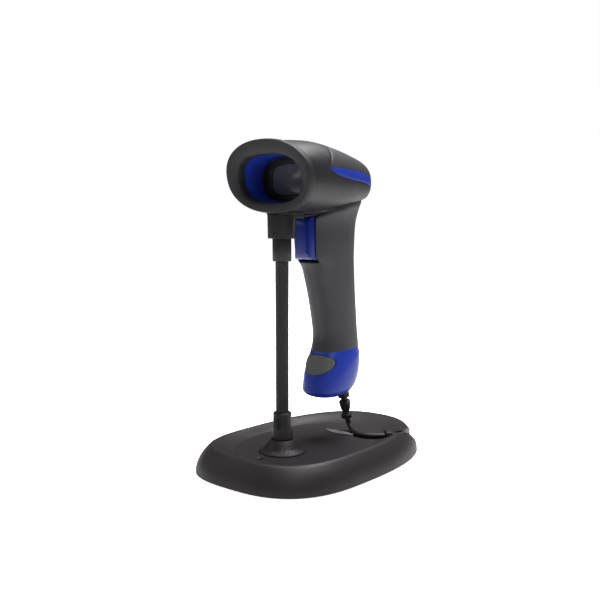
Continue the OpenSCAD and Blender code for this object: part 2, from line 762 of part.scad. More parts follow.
// Switch and spring seat, on a bracket that stands on the main board.
module trigger_switch() {
    color([0.08, 0.08, 0.09])
    union() {
        translate([-5, 0, 143]) cube([10, 16.2, 8]);
        translate([-3.2, 1, 150.9]) cube([6.4, 15.2, 6.5]);
        translate([0, 1.2, 154.4]) rotate([90, 0, 0]) cylinder(r = 1.2, h = 10.4);
    }
}

// ---------- cord ----------

// The plug's own axis: its origin is where the cord leaves the boot, +Z runs up into the grip.
module plug_axis() {
    translate([0, boot_y, boot_z]) rotate([boot_tilt, 0, 0]) children();
}

// Ribbed strain relief below the cap.
module plug_boot() {
    color([0.07, 0.07, 0.07])
    plug_axis()
        rotate_extrude()
            polygon([[cord_d / 2, 0], [3.8, 0], [4.1, 0.4], [4.1, 2.8], [2.7, 4], [2.6, 5.6],
                     [3.4, 6.8], [4.2, 11.6], [4.2, 13.2], [2.4, 14.2], [2.4, 16.4],
                     [4.3, 16.8], [4.3, 18.2], [cord_d / 2, 18.2]]);
}

// Moulded plug inside the cap, clicked into the jack.
module cord_plug() {
    color([0.06, 0.06, 0.06])
    plug_axis() {
        translate([0, 0, 18.3]) cylinder(r = 4.3, h = 9.5);
        translate([-5.6, -3.6, 27.7]) cube([11.2, 7.2, 20]);
    }
}

module cord_jack() {
    color([0.2, 0.2, 0.2])
    plug_axis()
        difference() {
            translate([-8, -6, 36]) cube([16, 12, 16]);
            translate([-6, -4, 30]) cube([12, 8, 18.4]);
        }
}

// The cord from the boot, through the rim's groove, to the hank behind the base.
cord_points = [
    [0, 35.2, 24], [0.6, 36, 20.6], [3, 35.2, 17.6], [7.5, 32.2, 16], [12.5, 28.8, 15.9],
    [17.5, 26.8, 15.9], [22, 27, 15.9], [26.5, 29.2, 15.9], [31, 33, 15.9], [35.6, 37.4, 15.9],
    [39.4, 42, 15.9], [41.4, 47, 15.6], [41.6, 52.6, 14], [40, 58.5, 11.2], [37.6, 64.5, 8],
    [34.8, 70.5, 5], [31.6, 76.2, 2.7], [27.6, 81.6, 1.8], [22.4, 85.9, 1.8], [15, 89, 1.8],
    [7, 90.6, 1.8], [-1, 91.3, 1.8], [-9, 91, 1.8], [-18.2, 89.4, 1.8]];

module cord_run() {
    color([0.1, 0.1, 0.1])
    tube(smooth_path(cord_points, 2), cord_d / 2, 8);
}

// The hank lies along the rear left edge of the base: four turns wide below, two above.
// Each layer: middle radius, half width, first and last angle, height of its top.
hank_c = [8, 34];
hank_layers = [[81.2, 6 * cord_d, 118, 155, cord_d], [75.2, 4 * cord_d, 121, 149, 2 * cord_d]];

function turned_pt(r, a) = [r * cos(a), r * sin(a)];

// Outline of a layer: its outer side, the far fold, its inner side and the near fold.
function hank_outline(l) = concat(
    [for (k = [0:12]) turned_pt(l[0] + l[1], lerp(l[2], l[3], k / 12))],
    [for (k = [1:11]) turned_pt(l[0], l[3]) + turned_pt(l[1], l[3] + 15 * k)],
    [for (k = [0:12]) turned_pt(l[0] - l[1], lerp(l[3], l[2], k / 12))],
    [for (k = [1:11]) turned_pt(l[0], l[2]) + turned_pt(l[1], l[2] + 180 + 15 * k)]);

module cord_hank() {
    color([0.1, 0.1, 0.1])
    translate([hank_c[0], hank_c[1], 0]) {
        linear_extrude(hank_layers[0][4]) polygon(hank_outline(hank_layers[0]));
        translate([0, 0, cord_d / 2])
            linear_extrude(hank_layers[1][4] - cord_d / 2) polygon(hank_outline(hank_layers[1]));
    }
}

// Section across the hank, grown by a margin: distance from its centre, and height.
function hank_section(m) =
    let (low = hank_layers[0], high = hank_layers[1])
    [[low[0] - low[1] - m, 0], [low[0] + low[1] + m, 0], [low[0] + low[1] + m, low[4] + m],
     [high[0] + high[1] + m, low[4] + m], [high[0] + high[1] + m, high[4] + m],
     [low[0] - low[1] - m, high[4] + m]];

// Hook-and-loop tie round the middle of the hank.
module cord_tie() {
    color([0.05, 0.05, 0.05])
    translate([hank_c[0], hank_c[1], 0])
        rotate([0, 0, 136.5])
            rotate([90, 0, 0])
                difference() {
                    linear_extrude(6, center = true) polygon(hank_section(0.6));
                    linear_extrude(8, center = true)
                        translate([0, -0.01]) polygon(hank_section(0.1));
                }
}

// USB plug lying beside the base, next to the hank.
usb_at = [-66, 28.8, 4.2];
usb_turn = -100;

module usb_grip() {
    color([0.07, 0.07, 0.07])
    translate(usb_at)
        rotate([0, 0, usb_turn])
            difference() {
                union() {
                    translate([-13, -7.6, -4]) cube([26, 15.2, 8]);
                    translate([-13, 0, -0.6]) rotate([0, -90, 0]) cylinder(r = 3.4, h = 6);
                }
                translate([11.5, -6.1, -2.35]) cube([2, 12.2, 4.7]);
            }
}

module usb_shell() {
    color([0.78, 0.78, 0.8])
    translate(usb_at)
        rotate([0, 0, usb_turn])
            difference() {
                translate([11.6, -6, -2.25]) cube([13.6, 12, 4.5]);
                translate([14, -5.7, -0.2]) cube([12, 11.4, 2.1]);
            }
}

base_shell();
bottom_plate();
base_weight();
rubber_feet();
base_screws();
badge_plate();
cord_clip();
neck_collar();
neck_nut();
lower_ferrule();
gooseneck_lower();
gooseneck_upper();
upper_ferrule();
cradle();
cradle_pad();
nose_bumper();
tunnel_liner();
window_frame();
scan_window();
head_shell();
top_cover();
side_trim();
grip_half(true);  // grip_left
grip_half(false);  // grip_right
toe_inlay();
end_cap();
inner_chassis();
main_board();
board_screws();
engine_frame();
sensor_board();
lens_barrel();
led_lamps();
beeper();
trigger_switch();
trigger_pin();
trigger_spring();
cord_jack();
cord_plug();
plug_boot();
trigger();
cord_run();
cord_hank();
cord_tie();
usb_grip();
usb_shell();
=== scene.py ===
"""Studio model of a handheld barcode scanner that rests on a gooseneck stand."""

import json
import logging
import math
from dataclasses import dataclass
from enum import Enum
from typing import Callable, Sequence

import bpy
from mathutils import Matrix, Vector

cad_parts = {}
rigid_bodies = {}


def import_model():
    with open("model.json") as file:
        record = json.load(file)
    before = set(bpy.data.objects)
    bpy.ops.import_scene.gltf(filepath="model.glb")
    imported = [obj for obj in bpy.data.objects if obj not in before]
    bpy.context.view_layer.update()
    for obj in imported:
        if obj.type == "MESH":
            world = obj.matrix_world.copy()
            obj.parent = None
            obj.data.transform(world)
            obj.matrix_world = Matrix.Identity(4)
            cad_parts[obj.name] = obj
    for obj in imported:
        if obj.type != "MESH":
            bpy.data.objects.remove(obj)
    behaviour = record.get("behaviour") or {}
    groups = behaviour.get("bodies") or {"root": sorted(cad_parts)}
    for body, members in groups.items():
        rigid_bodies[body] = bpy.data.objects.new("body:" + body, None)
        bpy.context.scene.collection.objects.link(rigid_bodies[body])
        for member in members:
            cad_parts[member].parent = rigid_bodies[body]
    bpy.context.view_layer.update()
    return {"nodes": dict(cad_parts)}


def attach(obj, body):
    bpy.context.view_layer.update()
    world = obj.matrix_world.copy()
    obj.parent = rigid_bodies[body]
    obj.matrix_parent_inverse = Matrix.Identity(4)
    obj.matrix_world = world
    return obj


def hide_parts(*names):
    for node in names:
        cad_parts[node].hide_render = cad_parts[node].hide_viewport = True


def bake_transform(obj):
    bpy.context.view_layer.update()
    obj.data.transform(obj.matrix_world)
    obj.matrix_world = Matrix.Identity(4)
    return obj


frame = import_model()

MM = 0.001
NECK_Y = -36.0
SEAM_GAP = 1e-6
GRAIN_HEIGHT = 0.00012
FULL_TURN = 2 * math.pi
LOG = logging.getLogger("scanner")

Point = tuple[float, float, float]
Place = Callable[[float, float], Sequence[float]]


def lerp(a: float, b: float, t: float) -> float:
    """Return the value a share t of the way from a to b."""
    return a + (b - a) * t


def ease(t: float) -> float:
    """Return t eased at both ends, held between 0 and 1."""
    t = min(1.0, max(0.0, t))
    return t * t * (3 - 2 * t)


def signed_power(value: float, power: float) -> float:
    """Return the power of a number's size, with the number's own sign."""
    return math.copysign(abs(value) ** power, value)


def superellipse(a: float, b: float, exponent: float, degrees: float) -> tuple[float, float]:
    """Return a point of a superellipse.

    Args:
        a: Half axis along the first coordinate.
        b: Half axis along the second coordinate.
        exponent: 2 for an ellipse, more for a squarer outline.
        degrees: Angle parameter.

    Returns:
        The two coordinates.
    """
    u = math.radians(degrees)
    return (a * signed_power(math.cos(u), 2 / exponent),
            b * signed_power(math.sin(u), 2 / exponent))


def curve(x: float, table: Sequence[Sequence[float]], column: int) -> float:
    """Return a smooth curve through one column of a table sorted by its first column.

    Args:
        x: Where the curve is read.
        table: Rows of numbers.
        column: The column that the curve passes through.

    Returns:
        The value at x.
    """
    last = len(table) - 1
    i = 0
    while i < last - 1 and x >= table[i + 1][0]:
        i += 1
    x0, x1 = table[i][0], table[i + 1][0]
    h = x1 - x0
    t = (x - x0) / h
    p0, p1 = table[i][column], table[i + 1][column]
    d = (p1 - p0) / h
    m0 = d if i == 0 else (p1 - table[i - 1][column]) / (x1 - table[i - 1][0])
    m1 = d if i > last - 2 else (table[i + 2][column] - p0) / (table[i + 2][0] - x0)
    return (p0 * (1 + 2 * t) * (1 - t) ** 2 + m0 * h * t * (1 - t) ** 2
            + p1 * t * t * (3 - 2 * t) - m1 * h * t * t * (1 - t))


def along(values: Sequence[float], index: float) -> float:
    """Return a value between the entries of a list, at an index that needn't be whole."""
    i = min(int(index), len(values) - 2)
    return lerp(values[i], values[i + 1], index - i)


def nose_set(height: float) -> float:
    """Return how far the slanting nose is set back at a height, in millimetres."""
    return 0.2 * (214.0 - height)


def flowing_path(points: Sequence[Point], steps: int) -> list[Vector]:
    """Return a smooth path through given points.

    Args:
        points: The points that the path passes through.
        steps: Number of stretches between each two of them.

    Returns:
        The path's points.
    """
    path = []
    for i in range(len(points) - 1):
        a = Vector(points[max(i - 1, 0)])
        b, c = Vector(points[i]), Vector(points[i + 1])
        d = Vector(points[min(i + 2, len(points) - 1)])
        for k in range(steps):
            t = k / steps
            path.append(0.5 * (2 * b + (c - a) * t + (2 * a - 5 * b + 4 * c - d) * t * t
                               + (3 * b - a - 3 * c + d) * t ** 3))
    path.append(Vector(points[-1]))
    return path


class Body(Enum):
    """The bodies that move on their own."""

    STAND = "stand"
    HOLDER = "holder"
    SCANNER = "scanner"
    TRIGGER = "trigger"


# ---------------------------------------------------------------- finishes


@dataclass(frozen=True)
class Finish:
    """A moulded, rubber, metal or painted surface.

    Colours are linear. Grain and mottle sizes are counts per metre.
    """

    colour: tuple[float, float, float]
    second: tuple[float, float, float]
    rough: tuple[float, float] = (0.45, 0.55)
    metal: float = 0.0
    grain: float = 1500.0
    depth: float = 0.25
    coat: float = 0.0
    specular: float = 0.3


BLUE = (0.014, 0.040, 0.36)
FINISHES = {
    "stand_plastic": Finish((0.022, 0.018, 0.021), (0.018, 0.014, 0.016),
                            (0.42, 0.52), grain=1800, depth=0.18),
    "under_plastic": Finish((0.03, 0.03, 0.031), (0.024, 0.024, 0.025)),
    "weight_steel": Finish((0.30, 0.31, 0.33), (0.22, 0.23, 0.24),
                           (0.35, 0.55), metal=1.0, grain=700),
    "black_rubber": Finish((0.010, 0.010, 0.010), (0.014, 0.014, 0.014),
                           (0.62, 0.74), grain=900),
    "screw_steel": Finish((0.55, 0.56, 0.58), (0.45, 0.46, 0.48),
                          (0.22, 0.34), metal=1.0, grain=1200, depth=0.1),
    "badge_silver": Finish((0.72, 0.73, 0.75), (0.62, 0.63, 0.66),
                           (0.25, 0.36), metal=0.85, grain=2500, depth=0.08),
    "neck_satin": Finish((0.014, 0.014, 0.015), (0.018, 0.018, 0.019),
                         (0.30, 0.40), grain=2200, depth=0.08),
    "neck_sleeve": Finish((0.013, 0.013, 0.014), (0.018, 0.018, 0.019),
                          (0.38, 0.48), grain=1700, depth=0.12),
    "nose_rubber": Finish((0.018, 0.017, 0.019), (0.023, 0.021, 0.024),
                          (0.50, 0.62), grain=1400, depth=0.22),
    "blue_plastic": Finish(BLUE, (0.012, 0.034, 0.31), (0.30, 0.40),
                           grain=1500, depth=0.1, coat=0.15),
    "trigger_blue": Finish((0.010, 0.024, 0.24), (0.008, 0.020, 0.20),
                           (0.22, 0.30), grain=1300, depth=0.08, coat=0.3),
    "black_plastic": Finish((0.008, 0.008, 0.008), (0.012, 0.012, 0.012),
                            (0.40, 0.50), grain=1500, depth=0.15),
    "smoked_window": Finish((0.11, 0.11, 0.12), (0.09, 0.09, 0.10),
                            (0.08, 0.14), grain=600, depth=0.02, coat=0.6),
    "dark_grey_plastic": Finish((0.021, 0.019, 0.022),
                                (0.017, 0.016, 0.018), (0.40, 0.50), grain=1700, depth=0.2),
    "grey_plastic": Finish((0.046, 0.043, 0.048), (0.039, 0.037, 0.042),
                           (0.42, 0.52), grain=1700, depth=0.24),
    "light_grey_plastic": Finish((0.105, 0.110, 0.105),
                                 (0.092, 0.097, 0.092), (0.45, 0.55), grain=1500, depth=0.2),
    "green_board": Finish((0.010, 0.075, 0.030), (0.020, 0.095, 0.040),
                          (0.35, 0.50), grain=500, depth=0.3, coat=0.3),
    "clear_lamp": Finish((0.80, 0.80, 0.75), (0.72, 0.72, 0.66), (0.08, 0.14),
                         depth=0.02, coat=0.5),
    "cord_black": Finish((0.012, 0.012, 0.013), (0.016, 0.016, 0.017),
                         (0.40, 0.50), grain=1100, depth=0.12),
    "plug_steel": Finish((0.62, 0.63, 0.64), (0.52, 0.53, 0.54), (0.20, 0.32),
                         metal=1.0, grain=1600, depth=0.1),
}


class Paintbox:
    """Makes each finish's material once, from two shared node groups."""

    def __init__(self) -> None:
        """Build the shared node groups."""
        self.grain = self._grain_group()
        self.mottle = self._mottle_group()
        self.made: dict[str, bpy.types.Material] = {}

    @staticmethod
    def _node(tree: bpy.types.NodeTree, kind: str, **values: object) -> bpy.types.Node:
        """Add a shader node and set its inputs, named with _ for a space."""
        node = tree.nodes.new("ShaderNode" + kind)
        for key, value in values.items():
            node.inputs[key.replace("_", " ")].default_value = value
        return node

    @staticmethod
    def _share_add(tree: bpy.types.NodeTree, share: float) -> bpy.types.Node:
        """Add a node that multiplies its first input by a share and adds its third."""
        node = tree.nodes.new("ShaderNodeMath")
        node.operation = "MULTIPLY_ADD"
        node.inputs[1].default_value = share
        return node

    def _grain_group(self) -> bpy.types.NodeTree:
        """Build the fine surface grain of a moulded or cast surface.

        Returns:
            The node group: Vector and Count in, Height out.
        """
        tree = bpy.data.node_groups.new("Surface grain", "ShaderNodeTree")
        tree.interface.new_socket("Vector", in_out="INPUT", socket_type="NodeSocketVector")
        tree.interface.new_socket("Count", in_out="INPUT", socket_type="NodeSocketFloat")
        tree.interface.new_socket("Height", in_out="OUTPUT", socket_type="NodeSocketFloat")
        start = tree.nodes.new("NodeGroupInput")
        end = tree.nodes.new("NodeGroupOutput")
        noise = self._node(tree, "TexNoise", Detail=3.0)
        pits = self._node(tree, "TexVoronoi")
        mix = self._share_add(tree, 0.5)
        for texture in (noise, pits):
            tree.links.new(start.outputs["Vector"], texture.inputs["Vector"])
            tree.links.new(start.outputs["Count"], texture.inputs["Scale"])
        tree.links.new(pits.outputs["Distance"], mix.inputs[0])
        tree.links.new(noise.outputs[0], mix.inputs[2])
        tree.links.new(mix.outputs[0], end.inputs["Height"])
        return tree

    def _mottle_group(self) -> bpy.types.NodeTree:
        """Build the slow change of colour and gloss that handling leaves.

        Returns:
            The node group: Vector, two colours and two roughnesses in, Color and
            Roughness out.
        """
        tree = bpy.data.node_groups.new("Handled surface", "ShaderNodeTree")
        for name, kind in (("Vector", "Vector"), ("First", "Color"), ("Second", "Color"),
                           ("Smooth", "Float"), ("Rough", "Float")):
            tree.interface.new_socket(name, in_out="INPUT", socket_type="NodeSocket" + kind)
        tree.interface.new_socket("Color", in_out="OUTPUT", socket_type="NodeSocketColor")
        tree.interface.new_socket("Roughness", in_out="OUTPUT", socket_type="NodeSocketFloat")
        start = tree.nodes.new("NodeGroupInput")
        end = tree.nodes.new("NodeGroupOutput")
        patches = self._node(tree, "TexNoise", Scale=45.0, Detail=4.0)
        specks = self._node(tree, "TexNoise", Scale=1400.0)
        blend = self._share_add(tree, 0.35)
        colours = tree.nodes.new("ShaderNodeMix")
        colours.data_type = "RGBA"
        gloss = self._node(tree, "MapRange", From_Min=0.45, From_Max=0.95)
        for texture in (patches, specks):
            tree.links.new(start.outputs["Vector"], texture.inputs["Vector"])
        tree.links.new(specks.outputs[0], blend.inputs[0])
        tree.links.new(patches.outputs[0], blend.inputs[2])
        tree.links.new(blend.outputs[0], colours.inputs[0])
        tree.links.new(start.outputs["First"], colours.inputs[6])
        tree.links.new(start.outputs["Second"], colours.inputs[7])
        tree.links.new(blend.outputs[0], gloss.inputs["Value"])
        tree.links.new(start.outputs["Smooth"], gloss.inputs["To Min"])
        tree.links.new(start.outputs["Rough"], gloss.inputs["To Max"])
        tree.links.new(colours.outputs[2], end.inputs["Color"])
        tree.links.new(gloss.outputs[0], end.inputs["Roughness"])
        return tree

    def material(self, name: str) -> bpy.types.Material:
        """Return a finish's material, made on first use.

        Args:
            name: The finish, which is also the record's material slot.

        Returns:
            The node material.
        """
        if name in self.made:
            return self.made[name]
        finish = FINISHES[name]
        mat = bpy.data.materials.new(name)
        mat.use_nodes = True
        tree = mat.node_tree
        nodes, links = tree.nodes, tree.links
        shader = nodes["Principled BSDF"]
        place = nodes.new("ShaderNodeTexCoord")
        turn = self._node(tree, "Mapping", Rotation=(0.3, 0.2, 0.5))
        grain = nodes.new("ShaderNodeGroup")
        grain.node_tree = self.grain
        grain.inputs["Count"].default_value = finish.grain
        mottle = nodes.new("ShaderNodeGroup")
        mottle.node_tree = self.mottle
        mottle.inputs["First"].default_value = (*finish.colour, 1)
        mottle.inputs["Second"].default_value = (*finish.second, 1)
        mottle.inputs["Smooth"].default_value = finish.rough[0]
        mottle.inputs["Rough"].default_value = finish.rough[1]
        bump = self._node(tree, "Bump", Strength=finish.depth, Distance=GRAIN_HEIGHT)
        links.new(place.outputs["Object"], turn.inputs["Vector"])
        for group in (grain, mottle):
            links.new(turn.outputs["Vector"], group.inputs["Vector"])
        links.new(grain.outputs["Height"], bump.inputs["Height"])
        links.new(bump.outputs["Normal"], shader.inputs["Normal"])
        links.new(mottle.outputs["Color"], shader.inputs["Base Color"])
        links.new(mottle.outputs["Roughness"], shader.inputs["Roughness"])
        shader.inputs["Metallic"].default_value = finish.metal
        shader.inputs["Coat Weight"].default_value = finish.coat
        shader.inputs["Coat Roughness"].default_value = 0.12
        shader.inputs["Specular IOR Level"].default_value = finish.specular
        self.made[name] = mat
        return mat

    def dress(self, piece: bpy.types.Object, name: str) -> None:
        """Give a piece its finish, in every material slot that it has."""
        mat = self.material(name)
        if not piece.material_slots:
            piece.data.materials.append(mat)
        for slot in piece.material_slots:
            slot.material = mat


# ---------------------------------------------------------------- workbench


class Workbench:
    """The modelling steps that the sub-assemblies share."""

    def __init__(self, paint: Paintbox) -> None:
        """Keep the paintbox.

        Args:
            paint: Gives each piece its finish.
        """
        self.paint = paint

    def clear(self) -> None:
        """Deselect everything."""
        if bpy.context.object and bpy.context.object.mode != "OBJECT":
            bpy.ops.object.mode_set(mode="OBJECT")
        for piece in bpy.context.scene.objects:
            piece.select_set(False)

    def pick(self, piece: bpy.types.Object) -> None:
        """Make one piece the only selected and active one."""
        self.clear()
        piece.select_set(True)
        bpy.context.view_layer.objects.active = piece

    def sheet(self, name: str, across: int, down: int, place: Place,
              keep: Callable[[int, int], bool] | None = None) -> bpy.types.Object:
        """Add a grid and carry its points onto a surface, then merge its seams.

        Args:
            name: The piece's name.
            across: Number of cells along the first direction.
            down: Number of cells along the second direction.
            place: Gives a point in millimetres for two indices.
            keep: Tells which cells stay, or None for all.

        Returns:
            The open or closed surface, with its faces pointing one way.
        """
        self.clear()
        bpy.ops.mesh.primitive_grid_add(x_subdivisions=across, y_subdivisions=down, size=1.0)
        piece = bpy.context.object
        piece.name = name
        piece.data.name = name
        for index, vertex in enumerate(piece.data.vertices):
            row, column = divmod(index, across + 1)
            vertex.co = Vector(place(column, row)) * MM
        if keep:
            for poly in piece.data.polygons:
                row, column = divmod(min(poly.vertices), across + 1)
                poly.select = not keep(column, row)
            bpy.context.tool_settings.mesh_select_mode = (False, False, True)
            bpy.ops.object.mode_set(mode="EDIT")
            bpy.ops.mesh.delete(type="FACE")
            bpy.ops.object.mode_set(mode="OBJECT")
        self.edit_all(lambda: bpy.ops.mesh.remove_doubles(threshold=SEAM_GAP),
                      lambda: bpy.ops.mesh.dissolve_degenerate(threshold=SEAM_GAP))
        return piece

    def edit_all(self, *steps: Callable[[], object]) -> None:
        """Run edit mode operators, one after another, on all of the active piece."""
        bpy.ops.object.mode_set(mode="EDIT")
        bpy.ops.mesh.select_mode(type="VERT")
        bpy.ops.mesh.select_all(action="SELECT")
        for step in steps:
            step()
        bpy.ops.object.mode_set(mode="OBJECT")

    def face_out(self, piece: bpy.types.Object, centre: Sequence[float]) -> None:
        """Point the faces away from a line or point inside the shell.

        Args:
            piece: The open shell.
            centre: A point inside it, in millimetres.
        """
        middle = Vector(centre) * MM
        total = sum(p.area * p.normal.dot(p.center - middle) for p in piece.data.polygons)
        if total < 0:
            self.pick(piece)
            self.edit_all(bpy.ops.mesh.flip_normals)

    def consistent(self, piece: bpy.types.Object) -> None:
        """Recalculate a closed piece's normals outwards."""
        self.pick(piece)
        self.edit_all(lambda: bpy.ops.mesh.normals_make_consistent(inside=False))

    def modify(self, piece: bpy.types.Object, kind: str, **settings: object) -> None:
        """Add a modifier with its settings and apply it.

        Args:
            piece: The piece to change.
            kind: The modifier's type.
            settings: The modifier's properties.
        """
        self.pick(piece)
        modifier = piece.modifiers.new(kind.title(), kind)
        for key, value in settings.items():
            setattr(modifier, key, value)
        bpy.ops.object.modifier_apply(modifier=modifier.name)

    def thicken(self, piece: bpy.types.Object, wall: float) -> None:
        """Give a shell a wall of that many millimetres, towards its inside."""
        self.modify(piece, "SOLIDIFY", thickness=wall * MM, offset=-1.0, use_even_offset=True)

    def round_edges(self, piece: bpy.types.Object, width: float, degrees: float = 40.0,
                    segments: int = 2) -> None:
        """Round the edges that are sharper than an angle, width in millimetres."""
        self.modify(piece, "BEVEL", width=width * MM, segments=segments,
                    limit_method="ANGLE", angle_limit=math.radians(degrees),
                    use_clamp_overlap=True, harden_normals=False)

    def cut(self, piece: bpy.types.Object, tool: bpy.types.Object) -> None:
        """Take a tool's shape out of a piece, and throw the tool away."""
        self.modify(piece, "BOOLEAN", operation="DIFFERENCE", object=tool, solver="EXACT")
        bpy.data.objects.remove(tool)

    def turned(self, name: str, profile: Sequence[tuple[float, float]], centre: Point,
               tilt: float = 0.0, steps: int = 64) -> bpy.types.Object:
        """Turn a profile round an upright or leaning axis.

        Args:
            name: The piece's name.
            profile: Radius and height pairs in millimetres, from the axis out and back.
            centre: The axis's origin in millimetres.
            tilt: Degrees by which the axis leans back about X.
            steps: Faces round the axis.

        Returns:
            The closed piece.
        """
        lean = math.radians(tilt)

        def place(i: float, j: float) -> Point:
            """Return the profile's point j at step i round the axis."""
            radius, height = profile[int(j)]
            u = FULL_TURN * i / steps
            x, y = radius * math.cos(u), radius * math.sin(u)
            return (centre[0] + x,
                    centre[1] + y * math.cos(lean) - height * math.sin(lean),
                    centre[2] + y * math.sin(lean) + height * math.cos(lean))

        piece = self.sheet(name, steps, len(profile) - 1, place)
        self.consistent(piece)
        return piece

    def swept(self, name: str, path: Sequence[Vector], radius: float,
              sides: int = 12) -> bpy.types.Object:
        """Sweep a round tube along a path and close its ends.

        Args:
            name: The piece's name.
            path: Points in millimetres.
            radius: The tube's radius in millimetres.
            sides: Faces round the tube.

        Returns:
            The closed tube.
        """
        sideways = Vector((1, 0, 0))
        rings = []
        for i, point in enumerate(path):
            ahead = (path[min(i + 1, len(path) - 1)] - path[max(i - 1, 0)]).normalized()
            sideways = (sideways - sideways.dot(ahead) * ahead).normalized()
            rings.append((point, sideways.copy(), ahead.cross(sideways)))

        def place(i: float, j: float) -> Point:
            """Return point i of ring j, with each end drawn to its middle."""
            ring = min(max(int(j) - 1, 0), len(rings) - 1)
            point, side, up = rings[ring]
            if j == 0 or j == len(rings) + 1:
                return tuple(point)
            u = FULL_TURN * i / sides
            return tuple(point + radius * (math.cos(u) * side + math.sin(u) * up))

        piece = self.sheet(name, sides, len(rings) + 1, place)
        self.consistent(piece)
        return piece

    def refined(self, node: str, width: float, degrees: float = 35.0,
                segments: int = 2) -> bpy.types.Object:
        """Copy a CAD node's mesh, merge it and round its edges.

        Args:
            node: The CAD node.
            width: Width of the rounding in millimetres.
            degrees: Edges sharper than this are rounded.
            segments: Faces across each rounded edge.

        Returns:
            The new piece.
        """
        source = frame["nodes"][node]
        self.pick(source)
        bpy.ops.object.duplicate(linked=False)
        piece = bpy.context.object
        piece.parent = None
        for key in list(piece.keys()):
            del piece[key]
        piece.data.materials.clear()
        piece.name = node + "_made"
        piece.data.name = piece.name
        self.edit_all(lambda: bpy.ops.mesh.remove_doubles(threshold=2 * SEAM_GAP),
                      lambda: bpy.ops.mesh.dissolve_limited(angle_limit=math.radians(1.0)))
        if width:
            self.round_edges(piece, width, degrees, segments)
        return piece

    def remake(self, node: str, width: float, body: Body, slot: str, degrees: float = 35.0,
               segments: int = 2) -> bpy.types.Object:
        """Refine a CAD node's copy and hand it over in the node's place.

        Args:
            node: The CAD node.
            width: Width of the rounding in millimetres.
            body: The body that the piece rides on.
            slot: The record's material slot.
            degrees: Edges sharper than this are rounded.
            segments: Faces across each rounded edge.

        Returns:
            The piece.
        """
        return self.hand_over(self.refined(node, width, degrees, segments), body, slot, node)

    def hand_over(self, piece: bpy.types.Object, body: Body | None, slot: str,
                  *nodes: str, smooth: float = 35.0) -> bpy.types.Object:
        """Smooth, paint and place a finished piece, and report it.

        Args:
            piece: The finished piece.
            body: The body that it rides on, or None where it rides on no body.
            slot: The record's material slot.
            nodes: The CAD nodes that it stands for.
            smooth: Edges flatter than this are shaded smooth.

        Returns:
            The piece.
        """
        self.pick(piece)
        bpy.ops.object.shade_smooth_by_angle(angle=math.radians(smooth))
        self.paint.dress(piece, slot)
        if body:
            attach(piece, body.value)
        if nodes:
            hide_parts(*nodes)
        LOG.info("%s: %d faces, %s", piece.name, len(piece.data.polygons), slot)
        return piece


# ---------------------------------------------------------------- studio


